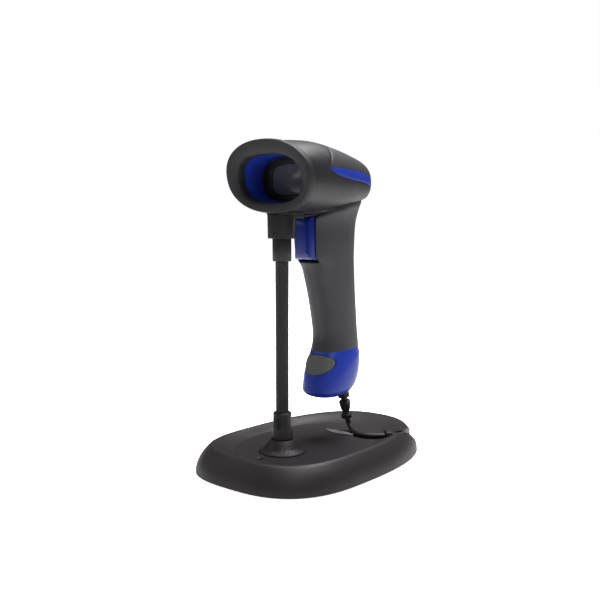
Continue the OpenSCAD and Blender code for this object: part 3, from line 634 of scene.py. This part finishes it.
@dataclass
class Studio:
    """The camera, the pale floor and the soft lights."""

    eye: Point = (0.3734, -0.4507, 0.176)
    azimuth: float = 40.78
    down: float = 6.1
    lens: float = 50.9
    fill: float = 0.09

    def build(self) -> None:
        """Set up the camera, the floor, the lights and the white surroundings."""
        a, p = math.radians(self.azimuth), math.radians(self.down)
        ahead = Vector((-math.sin(a) * math.cos(p), math.cos(a) * math.cos(p), -math.sin(p)))
        data = bpy.data.cameras.new("Camera")
        data.lens = self.lens
        data.sensor_width = 36.0
        camera = bpy.data.objects.new("Camera", data)
        camera.location = self.eye
        camera.rotation_mode = "QUATERNION"
        camera.rotation_quaternion = ahead.to_track_quat("-Z", "Y")
        bpy.context.scene.collection.objects.link(camera)
        bpy.context.scene.camera = camera
        self._floor()
        self._light("Key light", (0.75, -0.75, 0.95), 0.7, 2.2)
        self._light("Fill light", (-0.9, -0.7, 0.7), 0.8, 1.4)
        self._light("Top light", (0.05, 0.3, 1.2), 1.0, 34.0)
        world = bpy.data.worlds.new("White surroundings")
        world.use_nodes = True
        sky = world.node_tree.nodes["Background"]
        sky.inputs["Color"].default_value = (1, 1, 1, 1)
        sky.inputs["Strength"].default_value = self.fill
        backdrop = world.node_tree.nodes.new("ShaderNodeBackground")
        backdrop.inputs["Color"].default_value = (1, 1, 1, 1)
        backdrop.inputs["Strength"].default_value = 1.0
        mix = world.node_tree.nodes.new("ShaderNodeMixShader")
        seen = world.node_tree.nodes.new("ShaderNodeLightPath")
        links = world.node_tree.links
        links.new(seen.outputs["Is Camera Ray"], mix.inputs["Fac"])
        links.new(sky.outputs["Background"], mix.inputs[1])
        links.new(backdrop.outputs["Background"], mix.inputs[2])
        links.new(mix.outputs["Shader"], world.node_tree.nodes["World Output"].inputs["Surface"])
        bpy.context.scene.world = world
        bpy.context.scene.view_settings.view_transform = "Standard"

    def _floor(self) -> None:
        """Lay the plain pale floor."""
        bpy.ops.mesh.primitive_plane_add(size=60.0, location=(0, 0, 0))
        floor = bpy.context.object
        floor.name = "Floor"
        mat = bpy.data.materials.new("Pale floor")
        mat.use_nodes = True
        shader = mat.node_tree.nodes["Principled BSDF"]
        shader.inputs["Base Color"].default_value = (0.9, 0.9, 0.9, 1)
        shader.inputs["Roughness"].default_value = 0.95
        shader.inputs["Specular IOR Level"].default_value = 0.0
        shader.inputs["Emission Color"].default_value = (1, 1, 1, 1)
        seen = mat.node_tree.nodes.new("ShaderNodeLightPath")
        lift = mat.node_tree.nodes.new("ShaderNodeMath")
        lift.operation = "MULTIPLY"
        lift.inputs[1].default_value = 0.97
        mat.node_tree.links.new(seen.outputs["Is Camera Ray"], lift.inputs[0])
        mat.node_tree.links.new(lift.outputs[0], shader.inputs["Emission Strength"])
        floor.data.materials.append(mat)

    def _light(self, name: str, place: Point, size: float, power: float) -> None:
        """Hang one soft square light that looks at the scanner.

        Args:
            name: The light's name.
            place: Where it hangs, in metres.
            size: Its side, in metres.
            power: Its power in watts.
        """
        data = bpy.data.lights.new(name, "AREA")
        data.size = size
        data.energy = power
        lamp = bpy.data.objects.new(name, data)
        lamp.location = place
        lamp.rotation_mode = "QUATERNION"
        lamp.rotation_quaternion = (Vector((0, 0, 0.12)) - Vector(place)).to_track_quat("-Z", "Y")
        bpy.context.scene.collection.objects.link(lamp)


# ---------------------------------------------------------------- cord


@dataclass
class CordSet:
    """The cord from the grip's foot to the USB plug, with its hank and tie."""

    bench: Workbench
    diameter: float = 3.6
    centre: tuple[float, float] = (8.0, 34.0)
    low_mid: float = 81.2
    high_mid: float = 75.2
    low_arc: tuple[float, float] = (118.0, 155.0)
    high_arc: tuple[float, float] = (121.0, 145.0)
    last_side_end: float = 140.0
    half_widths: tuple[float, ...] = (19.8, 16.2, 12.6, 9.0)
    climb = [(7.2, -3.6, 2.4), (2.4, -5.4, 4.0), (-3.6, -5.6, 5.3), (-9.6, -4.0, 5.4),
             (-13.6, -0.6, 5.4)]
    exit: Point = (0.0, 35.2, 24.0)
    blend_from: float = 16.0
    blend_to: float = 23.5
    run: tuple[Point, ...] = (
        (0, 28.18, 52.14), (0, 31, 40.8), (0, 33.4, 31.2), (0, 35.2, 24), (0.6, 36, 20.6),
        (3, 35.2, 17.6), (7.5, 32.2, 16), (12.5, 28.8, 15.9), (17.5, 26.8, 15.9),
        (22, 27, 15.9), (26.5, 29.2, 15.9), (31, 33, 15.9), (35.6, 37.4, 15.9),
        (39.4, 42, 15.9), (41.4, 47, 15.6), (41.6, 52.6, 14), (40, 58.5, 11.2),
        (37.6, 64.5, 8), (34.8, 70.5, 5), (31.6, 76.2, 2.7), (27.6, 81.6, 1.8),
        (22.4, 85.9, 1.8), (15, 89, 1.8), (7, 90.6, 1.8), (-1, 91.3, 1.8), (-9, 91, 1.8),
        (-15.6, 90, 1.8))
    tail: tuple[Point, ...] = (
        (-46.6, 66.8, 5.4), (-51.4, 61.2, 5.4), (-55.6, 56.4, 5.4), (-59.2, 52, 5.2),
        (-61.6, 48.2, 4.2), (-62.9, 44.6, 3.7), (-63.5, 41.4, 3.6))

    def _polar(self, radius: float, degrees: float, height: float) -> Vector:
        """Return the point at a radius and angle round the hank's centre."""
        u = math.radians(degrees)
        return Vector((self.centre[0] + radius * math.cos(u),
                       self.centre[1] + radius * math.sin(u), height))

    def _fold(self, mid: float, degrees: float, sign: int, spread: Callable[[float], float],
              height: Callable[[float], float]) -> list[Vector]:
        """Return one end fold of the hank.

        Args:
            mid: Middle radius of the layer.
            degrees: Angle at which the layer ends.
            sign: 1 at the far end, where the cord turns outwards, -1 at the near end.
            spread: Half width of the fold for a share of the way round.
            height: Height of the cord for a share of the way round.

        Returns:
            The fold's points.
        """
        u = math.radians(degrees)
        out, onward = Vector((math.cos(u), math.sin(u), 0)), Vector((-math.sin(u), math.cos(u), 0))
        middle = self._polar(mid, degrees, 0)
        points = []
        for k in range(1, 20):
            t = k / 20
            phi = math.pi * t
            w = spread(t)
            points.append(middle + sign * w * (-math.cos(phi) * out + math.sin(phi) * onward)
                          + Vector((0, 0, height(t))))
        return points

    def _arc(self, radius: float, start: float, end: float, height: float) -> list[Vector]:
        """Return one long side of a turn."""
        return [self._polar(radius, lerp(start, end, k / 20), height) for k in range(21)]

    def route(self) -> list[Vector]:
        """Return the whole cord's centreline, from inside the boot to the USB plug."""
        path = flowing_path(self.run, 4)[:-1]
        low, high = self.diameter / 2, 1.5 * self.diameter
        a0, a1 = self.low_arc
        for k, w in enumerate(self.half_widths):
            path += self._arc(self.low_mid - w, a0, a1, low)
            path += self._fold(self.low_mid, a1, 1, lambda t, w=w: w, lambda t: low)
            path += self._arc(self.low_mid + w, a1, a0, low)
            if k < len(self.half_widths) - 1:
                path += self._fold(self.low_mid, a0, -1,
                                   lambda t, w=w: lerp(w, w - self.diameter, ease(t)),
                                   lambda t: low)
        b0, b1 = self.high_arc
        w = self.half_widths[-1]
        steps = [(self.low_mid + w, a0, low),
                 *((self.low_mid + out, a0 + turn, up) for out, turn, up in self.climb),
                 (self.high_mid - w, b0 + 2, high)]
        over = flowing_path([tuple(self._polar(*step)) for step in steps], 4)
        path += over[1:-1]
        path += self._arc(self.high_mid - w, b0 + 2, b1, high)
        path += self._fold(self.high_mid, b1, 1, lambda t: w, lambda t: high)
        path += self._arc(self.high_mid + w, b1, b0, high)
        path += self._fold(self.high_mid, b0, -1,
                           lambda t: lerp(w, w + self.diameter, ease(t)), lambda t: high)
        side = self._arc(self.high_mid - w - self.diameter, b0, self.last_side_end, high)
        path += side
        path += flowing_path([tuple(side[-2]), tuple(side[-1]), *self.tail], 4)[5:]
        return path

    def build(self) -> None:
        path = self.route()
        cord = self.bench.swept("cord", path, self.diameter / 2)
        self.bench.hand_over(cord, None, "cord_black", "cord_run", "cord_hank", smooth=60)
        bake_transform(cord)
        ends = [self.bench.remake(node, width, Body.STAND, slot) for node, width, slot in (
            ("usb_grip", 0.8, "cord_black"), ("usb_shell", 0.25, "plug_steel"),
            ("cord_tie", 0.2, "cord_black"))]
        self.bench.remake("plug_boot", 0.25, Body.SCANNER, "cord_black")


# ---------------------------------------------------------------- stand


@dataclass
class StandBase:
    """The weighted base with its dished tray, badge and cord clip."""

    bench: Workbench
    half_width: float = 58.4
    widest_y: float = -21.5
    front: float = 66.0
    rear: float = 109.0
    rim: float = 18.5
    tray: float = 14.0
    tray_half: tuple[float, float] = (40.0, 59.5)
    tray_y: float = -8.5
    hollow: float = 11.4
    groove_half: float = 2.9
    screw_y: float = -58.0
    screw_profile = [(0, 6), (2.2, 6), (2.2, 12.9), (3.4, 14.2), (3.4, 20), (0, 20)]
    steps: int = 144

    def _outline(self, inset: float, i: float, height: float) -> Point:
        """Return a point of the base's outline, drawn in by a distance."""
        u = 360.0 * i / self.steps
        back = math.sin(math.radians(u)) >= 0
        x, y = superellipse(1, 1, 2.5 if back else 2.8, u)
        reach = (self.rear if back else self.front) - inset
        return ((self.half_width - inset) * x, self.widest_y + reach * y, height)

    def _tray(self, i: float, height: float) -> Point:
        """Return a point of the tray floor's oval."""
        u = FULL_TURN * i / self.steps
        across, along_y = self.tray_half
        return (across * math.cos(u), self.tray_y + along_y * math.sin(u), height)

    def _levels(self) -> list[Callable[[float], Point]]:
        """Return the rings of the base, from the middle of the underside to the tray."""
        def ring(inset: float, height: float) -> Callable[[float], Point]:
            """Return a level drawn in from the base's outline."""
            return lambda i: self._outline(inset, i, height)

        def slope(t: float) -> Callable[[float], Point]:
            """Return a level a share t of the way from the rim down to the tray."""
            def point(i: float) -> Point:
                """Return the level's point at step i."""
                rim, floor = self._outline(10.6, i, 0), self._tray(i, 0)
                return (lerp(rim[0], floor[0], t), lerp(rim[1], floor[1], t),
                        lerp(self.rim, self.tray, ease(0.06 + 0.94 * t)))
            return point

        levels = [lambda i: (0, self.widest_y, self.hollow), ring(13, self.hollow),
                  ring(6, 8), ring(3, 3), ring(3, 0.8)]
        for z in (0.8, 2, 4, 6, 8, 10, 12, 13.5, 14.8, 16, 17, 17.8):
            levels.append(ring(9 * (z / self.rim) ** 2.2, z))
        levels += [ring(9.1, 18.25), ring(9.6, 18.5), ring(10.2, 18.5)]
        levels += [slope(t) for t in (0.02, 0.06, 0.12, 0.2, 0.3, 0.4, 0.5, 0.6, 0.7, 0.8, 0.9,
                                      0.96)]
        levels += [lambda i: self._tray(i, self.tray), lambda i: (0, self.tray_y, self.tray)]
        return levels

    def _groove(self) -> bpy.types.Object:
        """Return the cutter for the cord's slanting groove."""
        path = [Vector(p) for p in CordSet.run[10:22]]

        def place(i: float, j: float) -> Point:
            """Return corner i of section j, with the end sections drawn to a point."""
            k = min(max(int(j) - 1, 0), len(path) - 1)
            ahead = path[min(k + 1, len(path) - 1)] - path[max(k - 1, 0)]
            side = self.groove_half * Vector((-ahead.y, ahead.x, 0)).normalized()
            low = path[k].z - (1.9 if path[k].z > 15.8 else 2.25)
            corners = [(-1, low), (1, low), (1, 30.0), (-1, 30.0)]
            sign, height = corners[int(i) % 4]
            if j == 0 or j == len(path) + 1:
                return (path[k].x, path[k].y, 22.0)
            return (path[k].x + sign * side.x, path[k].y + sign * side.y, height)

        tool = self.bench.sheet("groove_tool", 4, len(path) + 1, place)
        self.bench.consistent(tool)
        return tool

    def build(self) -> None:
        """Make the base's own pieces and hand them over."""
        levels = self._levels()
        shell = self.bench.sheet("base_shell_made", self.steps, len(levels) - 1,
                                 lambda i, j: levels[int(j)](i))
        self.bench.consistent(shell)
        self.bench.cut(shell, self._groove())
        hole = self.bench.turned("screw_hole_tool", self.screw_profile,
                                 (0, self.screw_y, 0), steps=32)
        self.bench.cut(shell, hole)
        self.bench.round_edges(shell, 0.3, 50)
        self.bench.hand_over(shell, Body.STAND, "stand_plastic", "base_shell", smooth=40)
        self.bench.remake("badge_plate", 0.2, Body.STAND, "badge_silver")
        self.bench.remake("cord_clip", 0.7, Body.STAND, "stand_plastic", segments=3)


@dataclass
class Neck:
    """The flexible gooseneck between its collar and ferrules."""

    bench: Workbench
    radius: float = 4.4
    low: float = 30.0
    high: float = 149.9
    bend: float = 92.0
    bend_half: float = 26.0
    pitch: float = 1.15

    def build(self) -> None:
        """Make the ribbed tube as one piece, and the turned pieces round it."""
        profile = [(0.0, self.low)]
        z = self.low
        while z < self.high - self.pitch:
            profile += [(self.radius - 0.16, z), (self.radius - 0.03, z + 0.25 * self.pitch),
                        (self.radius, z + 0.5 * self.pitch),
                        (self.radius - 0.03, z + 0.75 * self.pitch)]
            z += self.pitch
        profile += [(self.radius - 0.1, z), (0.0, z)]
        tube = self.bench.turned("gooseneck", profile, (0, NECK_Y, 0), steps=32)
        self.bench.hand_over(tube, None, "neck_sleeve", "gooseneck_lower", "gooseneck_upper",
                             smooth=40)
        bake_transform(tube)
        self.bench.remake("neck_collar", 0.3, Body.STAND, "stand_plastic")
        for node, body in (("lower_ferrule", Body.STAND), ("upper_ferrule", Body.HOLDER)):
            self.bench.remake(node, 0.25, body, "neck_satin")


@dataclass
class Holder:
    """The cradle on top of the gooseneck."""

    bench: Workbench

    def build(self) -> None:
        """Make the cradle and its lining."""
        self.bench.remake("cradle", 0.5, Body.HOLDER, "black_plastic")
        pad = self.bench.refined("cradle_pad", 0.12)
        self.bench.modify(pad, "DISPLACE", strength=0.8 * MM, mid_level=0.0)
        self.bench.hand_over(pad, Body.HOLDER, "black_rubber", "cradle_pad")


# ---------------------------------------------------------------- scanner


@dataclass
class Head:
    """The head's dark shell, lighter top cover and blue side stripe."""

    bench: Workbench
    wall: float = 2.0
    exponent: float = 2.4
    fine: int = 3
    lap: float = 1.2
    table = [
        [-49.4, 34.8, 174.9, 219.4], [-36, 34.3, 174.2, 220.6], [-20, 33, 174, 220.8],
        [0, 31, 174.8, 217.8], [15, 28.4, 176.4, 214.6], [28, 25, 178.6, 210.9],
        [33.4, 20.5, 180, 206.4], [36.8, 14.5, 182.6, 200.8], [38.2, 6, 186.8, 194]]
    columns = [-49.4, -42, -34.5, -27, -13.5, -6, 3, 11, 19, 25.5, 30.2, 33.8, 36.4, 38.2]
    lines = [
        [-49.4, 175.6, 201.6, 202.4], [-27, 175.6, 201.4, 202.4], [-16.5, 176, 197.8, 202.6],
        [0, 178, 195.4, 201.8], [15, 181.2, 194.2, 200.6], [26, 184, 192.2, 198.4],
        [33.8, 185.4, 189.6, 196.6], [38.2, 188, 189.2, 192.2]]
    rows = [0, 0.34, 0.67, 1, 1.22, 1.42, 1.62, 1.82, 2, 3, 3.15, 3.32, 3.5, 3.68, 3.85, 4]
    row_grip = 3
    row_stripe = 8
    row_crown = 9
    seam_column = 3
    mouth_column = 4
    tail_column = 11
    tail_tip: Point = (0.0, 38.6, 190.4)

    def angle_at(self, y: float, z: float) -> float:
        """Return the section's angle, in degrees, at which it reaches a height."""
        low, high = curve(y, self.table, 2), curve(y, self.table, 3)
        r = max(-0.995, min(0.995, (z - (low + high) / 2) / ((high - low) / 2)))
        return math.degrees(math.asin(signed_power(r, self.exponent / 2)))

    def _line_angle(self, k: int, y: float) -> float:
        """Return the angle of the underside, one of the three lines, or the crown."""
        if k in (0, 4):
            return -90.0 if k == 0 else 90.0
        return self.angle_at(y, curve(y, self.lines, k) - (self.lap if k == 1 else 0))

    def _front_z(self, row: float) -> float:
        """Return a row's height at the head's front."""
        y, t = self.columns[0], along(self.rows, row)
        k = min(int(t), 3)
        u = lerp(self._line_angle(k, y), self._line_angle(k + 1, y), t - k)
        low, high = curve(y, self.table, 2), curve(y, self.table, 3)
        return (low + high) / 2 + superellipse(1, (high - low) / 2, self.exponent, u)[1]

    def _column_y(self, row: float, column: float) -> float:
        """Return a column's place, which leans back above the stripe."""
        top = len(self.rows) - 1
        rise = max(0.0, (row - self.row_crown) / (top - self.row_crown))
        start, seam0 = self.columns[0], self.columns[self.seam_column]
        seam, y = lerp(seam0, -5, rise), along(self.columns, column)
        tail = self.columns[self.tail_column]
        if column <= self.seam_column:
            edge = start + nose_set(self._front_z(row))
            return lerp(edge, seam, (y - start) / (seam0 - start))
        if column >= self.tail_column:
            return y
        return lerp(seam, tail, (y - seam0) / (tail - seam0))

    def point(self, i: float, j: float) -> Point:
        """Return a point of the head's skin for the fine grid's indices."""
        top = len(self.rows) - 1
        last = len(self.columns) - 1
        row, side = i / self.fine, 1
        if row > top:
            row, side = 2 * top - row, -1
        column = j / self.fine
        if column > last:
            return self.tail_tip
        y = self._column_y(row, column)
        t = along(self.rows, row)
        k = min(int(t), 3)
        u = lerp(self._line_angle(k, y), self._line_angle(k + 1, y), t - k)
        low, high = curve(y, self.table, 2), curve(y, self.table, 3)
        x, z = superellipse(curve(y, self.table, 1), (high - low) / 2, self.exponent, u)
        return (side * x, y, (low + high) / 2 + z)

    def _part(self, name: str, keep: Callable[[int, int], bool]) -> bpy.types.Object:
        """Return one of the head's shells, cut out of the whole skin.

        Args:
            name: The piece's name.
            keep: Tells which cells stay, by their row and column.

        Returns:
            The shell with its wall and rounded edges.
        """
        top = len(self.rows) - 1
        across = 2 * top * self.fine
        down = (len(self.columns) - 1) * self.fine + 1

        def stays(i: int, j: int) -> bool:
            """Tell whether the fine cell belongs to the piece."""
            row = i // self.fine
            return keep(row if row < top else 2 * top - 1 - row, j // self.fine)

        piece = self.bench.sheet(name, across, down, self.point, stays)
        self.bench.face_out(piece, (0, 0, 197))
        self.bench.thicken(piece, self.wall)
        self.bench.round_edges(piece, 0.3, 45)
        return piece

    def build(self) -> None:
        """Make the three shells."""
        tail, seam = self.tail_column, self.seam_column
        shell = self._part("head_shell_made", lambda r, c: c < tail and (
            c < self.mouth_column if r < self.row_grip
            else r < self.row_stripe or c < seam))
        self.bench.hand_over(shell, Body.SCANNER, "dark_grey_plastic", "head_shell")
        cover = self._part("top_cover_made",
                           lambda r, c: r >= self.row_crown and seam <= c < tail)
        self.bench.hand_over(cover, Body.SCANNER, "grey_plastic", "top_cover")
        trim = self._part("side_trim_made",
                          lambda r, c: c >= tail or (r == self.row_stripe and c >= seam))
        self.bench.hand_over(trim, Body.SCANNER, "blue_plastic", "side_trim")


@dataclass
class Nose:
    """The rubber nose ring, the blue tunnel and the window at its end."""

    bench: Workbench
    width: float = 73.0
    height: float = 47.2
    centre: float = 197.0
    mouth: tuple[float, float] = (27.2, 15.3)
    mouth_centre: float = 195.6
    steps: int = 96
    outer_power: float = 2.2
    mouth_power: float = 2.6
    wall = [(-45.5, 1.6), (-25.6, 0.8), (-25.6, -0.6), (-35, -0.2), (-45.5, 0.2), (-45.5, 1.6)]
    loop = [
        [-49.6, 0.3], [-49.6, 0.94], [-48.8, 0.985], [-50.2, 0.998], [-51.6, 1], [-52.8, 0.992],
        [-53.6, 0.97], [-54.2, 0.935], [-54.5, 0.88], [-54.3, 0.62], [-54, 0.4], [-53.5, 0.22],
        [-52.8, 0.1], [-52.1, 0.03], [-51.4, 0], [-45.6, 0], [-45.6, 0.3], [-49.6, 0.3]]

    def build(self) -> None:
        """Make the nose ring and the tunnel, and refine the window's frame."""
        def ring(i: float, j: float) -> Point:
            """Return point j of the nose ring's section at step i."""
            u = 360.0 * i / self.steps
            y, share = self.loop[int(j)]
            ox, oz = superellipse(self.width / 2, self.height / 2, self.outer_power, u)
            mx, mz = superellipse(*self.mouth, self.mouth_power, u)
            z = lerp(self.mouth_centre + mz, self.centre + oz, share)
            return (lerp(mx, ox, share), y + nose_set(z), z)

        nose = self.bench.sheet("nose_ring", self.steps, len(self.loop) - 1, ring)
        self.bench.consistent(nose)
        self.bench.round_edges(nose, 0.4, 50)
        self.bench.hand_over(nose, Body.SCANNER, "nose_rubber", "nose_bumper")

        def tube(i: float, j: float) -> Point:
            """Return point j of the tunnel's wall at step i."""
            y, grow = self.wall[int(j)]
            x, z = superellipse(self.mouth[0] + grow, self.mouth[1] + grow, self.mouth_power,
                                360.0 * i / self.steps)
            z += self.mouth_centre
            return (x, y + (nose_set(z) if y < -40 else 0.0), z)

        liner = self.bench.sheet("tunnel_tube", self.steps, len(self.wall) - 1, tube)
        self.bench.consistent(liner)
        self.bench.round_edges(liner, 0.15, 50)
        self.bench.hand_over(liner, Body.SCANNER, "blue_plastic", "tunnel_liner")
        self.bench.remake("window_frame", 0.3, Body.SCANNER, "black_plastic")
        self.bench.remake("scan_window", 0.15, Body.SCANNER, "smoked_window")


@dataclass
class Grip:
    """The two halves of the grip, the toe inlay and the blue end cap."""

    bench: Workbench
    head: Head
    fine: int = 3
    exponent: float = 2.3
    wall: float = 2.0
    rings = [
        [181.8, 12, 13.4, 23, 27.6], [177.2, 11.8, 12, 20.8, 25.2], [171.6, 11.4, 9, 18.4, 23.6],
        [165, 11, 5, 17, 22], [156, 10.9, 2, 16.4, 21.4], [146, 11.3, 0, 15.9, 20.9],
        [140, 12, 0, 15.6, 20.3], [131, 13.4, -2, 15.4, 19.5], [120, 15.5, -5, 15, 18.4],
        [108, 17.6, -7, 14.7, 17.6], [96, 19.5, -8, 14.5, 17], [85, 21, -7, 14.6, 16.8],
        [78, 20.4, 2, 15, 18], [72.5, 18.4, 14, 16, 20.8], [67, 17, 23, 16.8, 23.7],
        [58.5, 16.2, 20, 17.2, 23.6], [51.4, 14.2, 9, 16.6, 20.4], [47.6, 12.2, 4, 14.6, 16.4],
        [45.6, 10.8, 2, 11.6, 12.4]]
    stations = [0, 12, 24, 36, 49, 63, 78, 94, 111, 128, 145, 162, 180]
    slot = (1, 6)
    slot_cells: int = 8
    lip: float = 5.0
    tuck: float = 3.0
    pinch: float = 0.04
    corner: tuple[float, float] = (0.5, 0.32)
    cord_hole = [(0, 12), (4.6, 12), (4.6, 32), (0, 32)]
    cord_exit: Point = (0, 35.2, 24)
    cord_lean: float = 14.0
    toe_at: float = 12.95
    toe_half: tuple[float, float] = (50.0, 0.66)
    cap_line = [[0, 12.1], [40, 12.05], [75, 12.0], [100, 11.95], [130, 11.5], [160, 11.1],
                [180, 11.0]]

    def _ring(self, j: float) -> list[float]:
        """Return the ring's numbers at an index that needn't be whole."""
        table = [[k, *row] for k, row in enumerate(self.rings)]
        return [curve(j, table, c) for c in range(1, 6)]

    def _under(self, x: float, y: float) -> float:
        """Return the height of the head's underside at a place."""
        table = self.head.table
        low, high = curve(y, table, 2), curve(y, table, 3)
        r = min(0.999, abs(x) / curve(y, table, 1))
        n = self.head.exponent
        return (low + high) / 2 - (high - low) / 2 * (1 - r ** n) ** (1 / n)

    def _collar(self, v: float) -> Point:
        """Return a point of the grip's upper edge, tucked into the head at the rear."""
        y = lerp(-15.4, 33.2, (1 - math.cos(math.radians(v))) / 2)
        angle = math.radians(self.head.angle_at(y, curve(y, self.head.lines, 1)))
        reach = curve(y, self.head.table, 1) * math.cos(angle) ** (2 / self.head.exponent)
        x = reach * signed_power(math.sin(math.radians(v)), self.corner[v >= 90])
        rear = ease((v - 85) / 45)
        return (x * (1 - self.pinch * rear), y, self._under(x, y) - 0.15 + self.tuck * rear)

    def skin(self, v: float, ring: float) -> Vector:
        """Return a point of the grip's skin.

        Args:
            v: Degrees round the grip from its front, negative on the left.
            ring: Index into the rings, from the collar down.

        Returns:
            The point in millimetres.
        """
        side, v = (1 if v >= 0 else -1), min(abs(v), 180.0)
        z0, y0, slope, a, b = self._ring(max(ring, 1.0))
        x, p = superellipse(a, b, self.exponent, v - 90)
        tilt = math.radians(slope)
        lip = ease((74 - v) / 36) * ease((ring - 0.5) / 1.1) * (1 - ease((ring - 5.3) / 1.5))
        spot = Vector((x, y0 + p * math.cos(tilt) - self.lip * lip, z0 + p * math.sin(tilt)))
        if ring < 1:
            spot = Vector(self._collar(v)).lerp(spot, ring)
        return Vector((side * spot.x, spot.y, spot.z))

    def border(self, v: float) -> float:
        """Return the ring at which the blue cap starts, at an angle from the front."""
        return curve(abs(v), self.cap_line, 1)

    def _angle(self, i: float) -> float:
        """Return the angle of a fine column, which runs from the front round to the left."""
        half = len(self.stations) - 1
        station = i / self.fine
        if station <= half:
            return along(self.stations, station)
        return -along(self.stations, 2 * half - station)

    def _shell(self, name: str, place: Place, down: int,
               keep: Callable[[int, int], bool]) -> bpy.types.Object:
        """Return one of the grip's shells with its wall.

        Args:
            name: The piece's name.
            place: Gives a point for two indices.
            down: Number of rows.
            keep: Tells which cells stay.

        Returns:
            The shell.
        """
        across = 2 * (len(self.stations) - 1) * self.fine
        piece = self.bench.sheet(name, across, down, place, keep)
        self.bench.face_out(piece, (0, 14, 110) if "grip" in name else (0, 13, 60))
        self.bench.thicken(piece, self.wall)
        return piece

    def _inlay(self, name: str, size: float, lift: float, dish: float) -> bpy.types.Object:
        """Lay an oval patch on the toe's upper face.

        Args:
            name: The piece's name.
            size: Its size as a share of the inlay's.
            lift: Millimetres by which its edge stands above the cap.
            dish: Millimetres by which its middle is lower than its edge.

        Returns:
            The patch with its thickness.
        """
        def place(i: float, j: float) -> Point:
            """Return the patch's point at a step round and a step out."""
            share = j / 8
            u = FULL_TURN * i / 48
            v = self.toe_half[0] * size * share * math.sin(u)
            ring = self.toe_at - self.toe_half[1] * size * share * math.cos(u)
            spot = self.skin(v, ring)
            out = (self.skin(v + 0.5, ring) - self.skin(v - 0.5, ring)).cross(
                self.skin(v, ring - 0.05) - self.skin(v, ring + 0.05)).normalized()
            if out.dot(spot - Vector((0, 14, 60))) < 0:
                out = -out
            return tuple(spot + out * (lift - dish * (1 - share * share)))

        piece = self.bench.sheet(name, 48, 8, place)
        self.bench.face_out(piece, (0, 14, 60))
        self.bench.thicken(piece, 1.4)
        self.bench.round_edges(piece, 0.25, 50)
        return piece

    def build(self) -> None:
        """Make the grip's four pieces."""
        middle = (len(self.stations) - 1) * self.fine
        upper, lower = 44, 18
        low, high = self.slot[0], self.slot[1]
        last = len(self.rings) - 1
        levels = [14 * k / upper for k in range(upper + 1)]

        def body(i: float, j: float) -> Point:
            """Return a point between the collar and the cap's border."""
            v = self._angle(i)
            share = max(0.0, (levels[int(j)] - 7) / 7)
            ring = levels[int(j)] + share * (self.border(v) - 14)
            return tuple(self.skin(v, ring))

        def off(i: int) -> int:
            """Return a cell's distance from the front middle."""
            return i if i < middle else 2 * middle - 1 - i

        def solid(i: int, j: int) -> bool:
            """Tell whether a cell is outside the trigger's slot."""
            ring = (levels[j] + levels[j + 1]) / 2
            return not (off(i) < self.slot_cells and low <= ring < high)

        for name, right in (("grip_left", False), ("grip_right", True)):
            half = self._shell(name + "_made", body, upper,
                               lambda i, j, right=right: (i < middle) == right and solid(i, j))
            self.bench.round_edges(half, 0.25, 50)
            self.bench.hand_over(half, Body.SCANNER, "grey_plastic", name, smooth=45)

        def closed(i: float, j: float) -> Point:
            """Return the cap's skin, carried on to the middle of its foot."""
            v = self._angle(i)
            if j <= lower:
                return tuple(self.skin(v, lerp(self.border(v), last, j / lower)))
            share = (j - lower) / 3
            x, y, z = self.skin(v, last)
            return (lerp(x, 0, share), lerp(y, 10.8, share), z - 0.6 * ease(share * 1.4))

        foot = self._shell("end_cap_made", closed, lower + 3, lambda i, j: True)
        hole = self.bench.turned("hole_tool", self.cord_hole, self.cord_exit,
                                 self.cord_lean, 48)
        self.bench.cut(foot, hole)
        self.bench.round_edges(foot, 0.35, 50)
        self.bench.hand_over(foot, Body.SCANNER, "blue_plastic", "end_cap", smooth=45)
        # A flat black ring sheet, a little larger than the inlay, is painted shade: it stands in
        # for the shadowed gap round the toe inlay instead of a cut recess.
        groove = self._inlay("toe_groove_painted_shade", 1.09, 0.12, 0.0)
        self.bench.hand_over(groove, Body.SCANNER, "black_plastic")
        inlay = self._inlay("toe_inlay_made", 1.0, 0.45, 0.25)
        self.bench.hand_over(inlay, Body.SCANNER, "light_grey_plastic", "toe_inlay")


@dataclass
class Trigger:
    """The blue trigger."""

    bench: Workbench

    def build(self) -> None:
        """Refine the trigger's body and round its edges."""
        self.bench.remake("trigger", 0.5, Body.TRIGGER, "trigger_blue", 30, 3)


@dataclass
class Works:
    """The parts that keep their CAD shape and only get a finish."""

    paint: Paintbox

    slots = {
        "bottom_plate": "under_plastic", "base_weight": "weight_steel",
        "rubber_feet": "black_rubber", "base_screws": "screw_steel",
        "neck_nut": "screw_steel", "board_screws": "screw_steel",
        "trigger_pin": "screw_steel", "trigger_spring": "screw_steel",
        "main_board": "green_board", "sensor_board": "green_board",
        "led_lamps": "clear_lamp"}

    def build(self) -> None:
        """Dress every CAD node; the ones that no made piece stands for are seen."""
        for name, node in frame["nodes"].items():
            slot = self.slots.get(name, "black_plastic")
            self.paint.dress(node, slot)
            LOG.info("%s: dressed as %s", name, slot)


def main() -> None:
    """Build the studio, then the sub-assemblies in order."""
    logging.basicConfig(level=logging.INFO, format="%(name)s: %(message)s")
    paint = Paintbox()
    bench = Workbench(paint)
    bench.clear()
    head = Head(bench)
    for assembly in (Studio(), Works(paint), CordSet(bench), StandBase(bench), Neck(bench),
                     Holder(bench), head, Nose(bench), Grip(bench, head), Trigger(bench)):
        assembly.build()
    bench.clear()


if __name__ == "__main__":
    main()
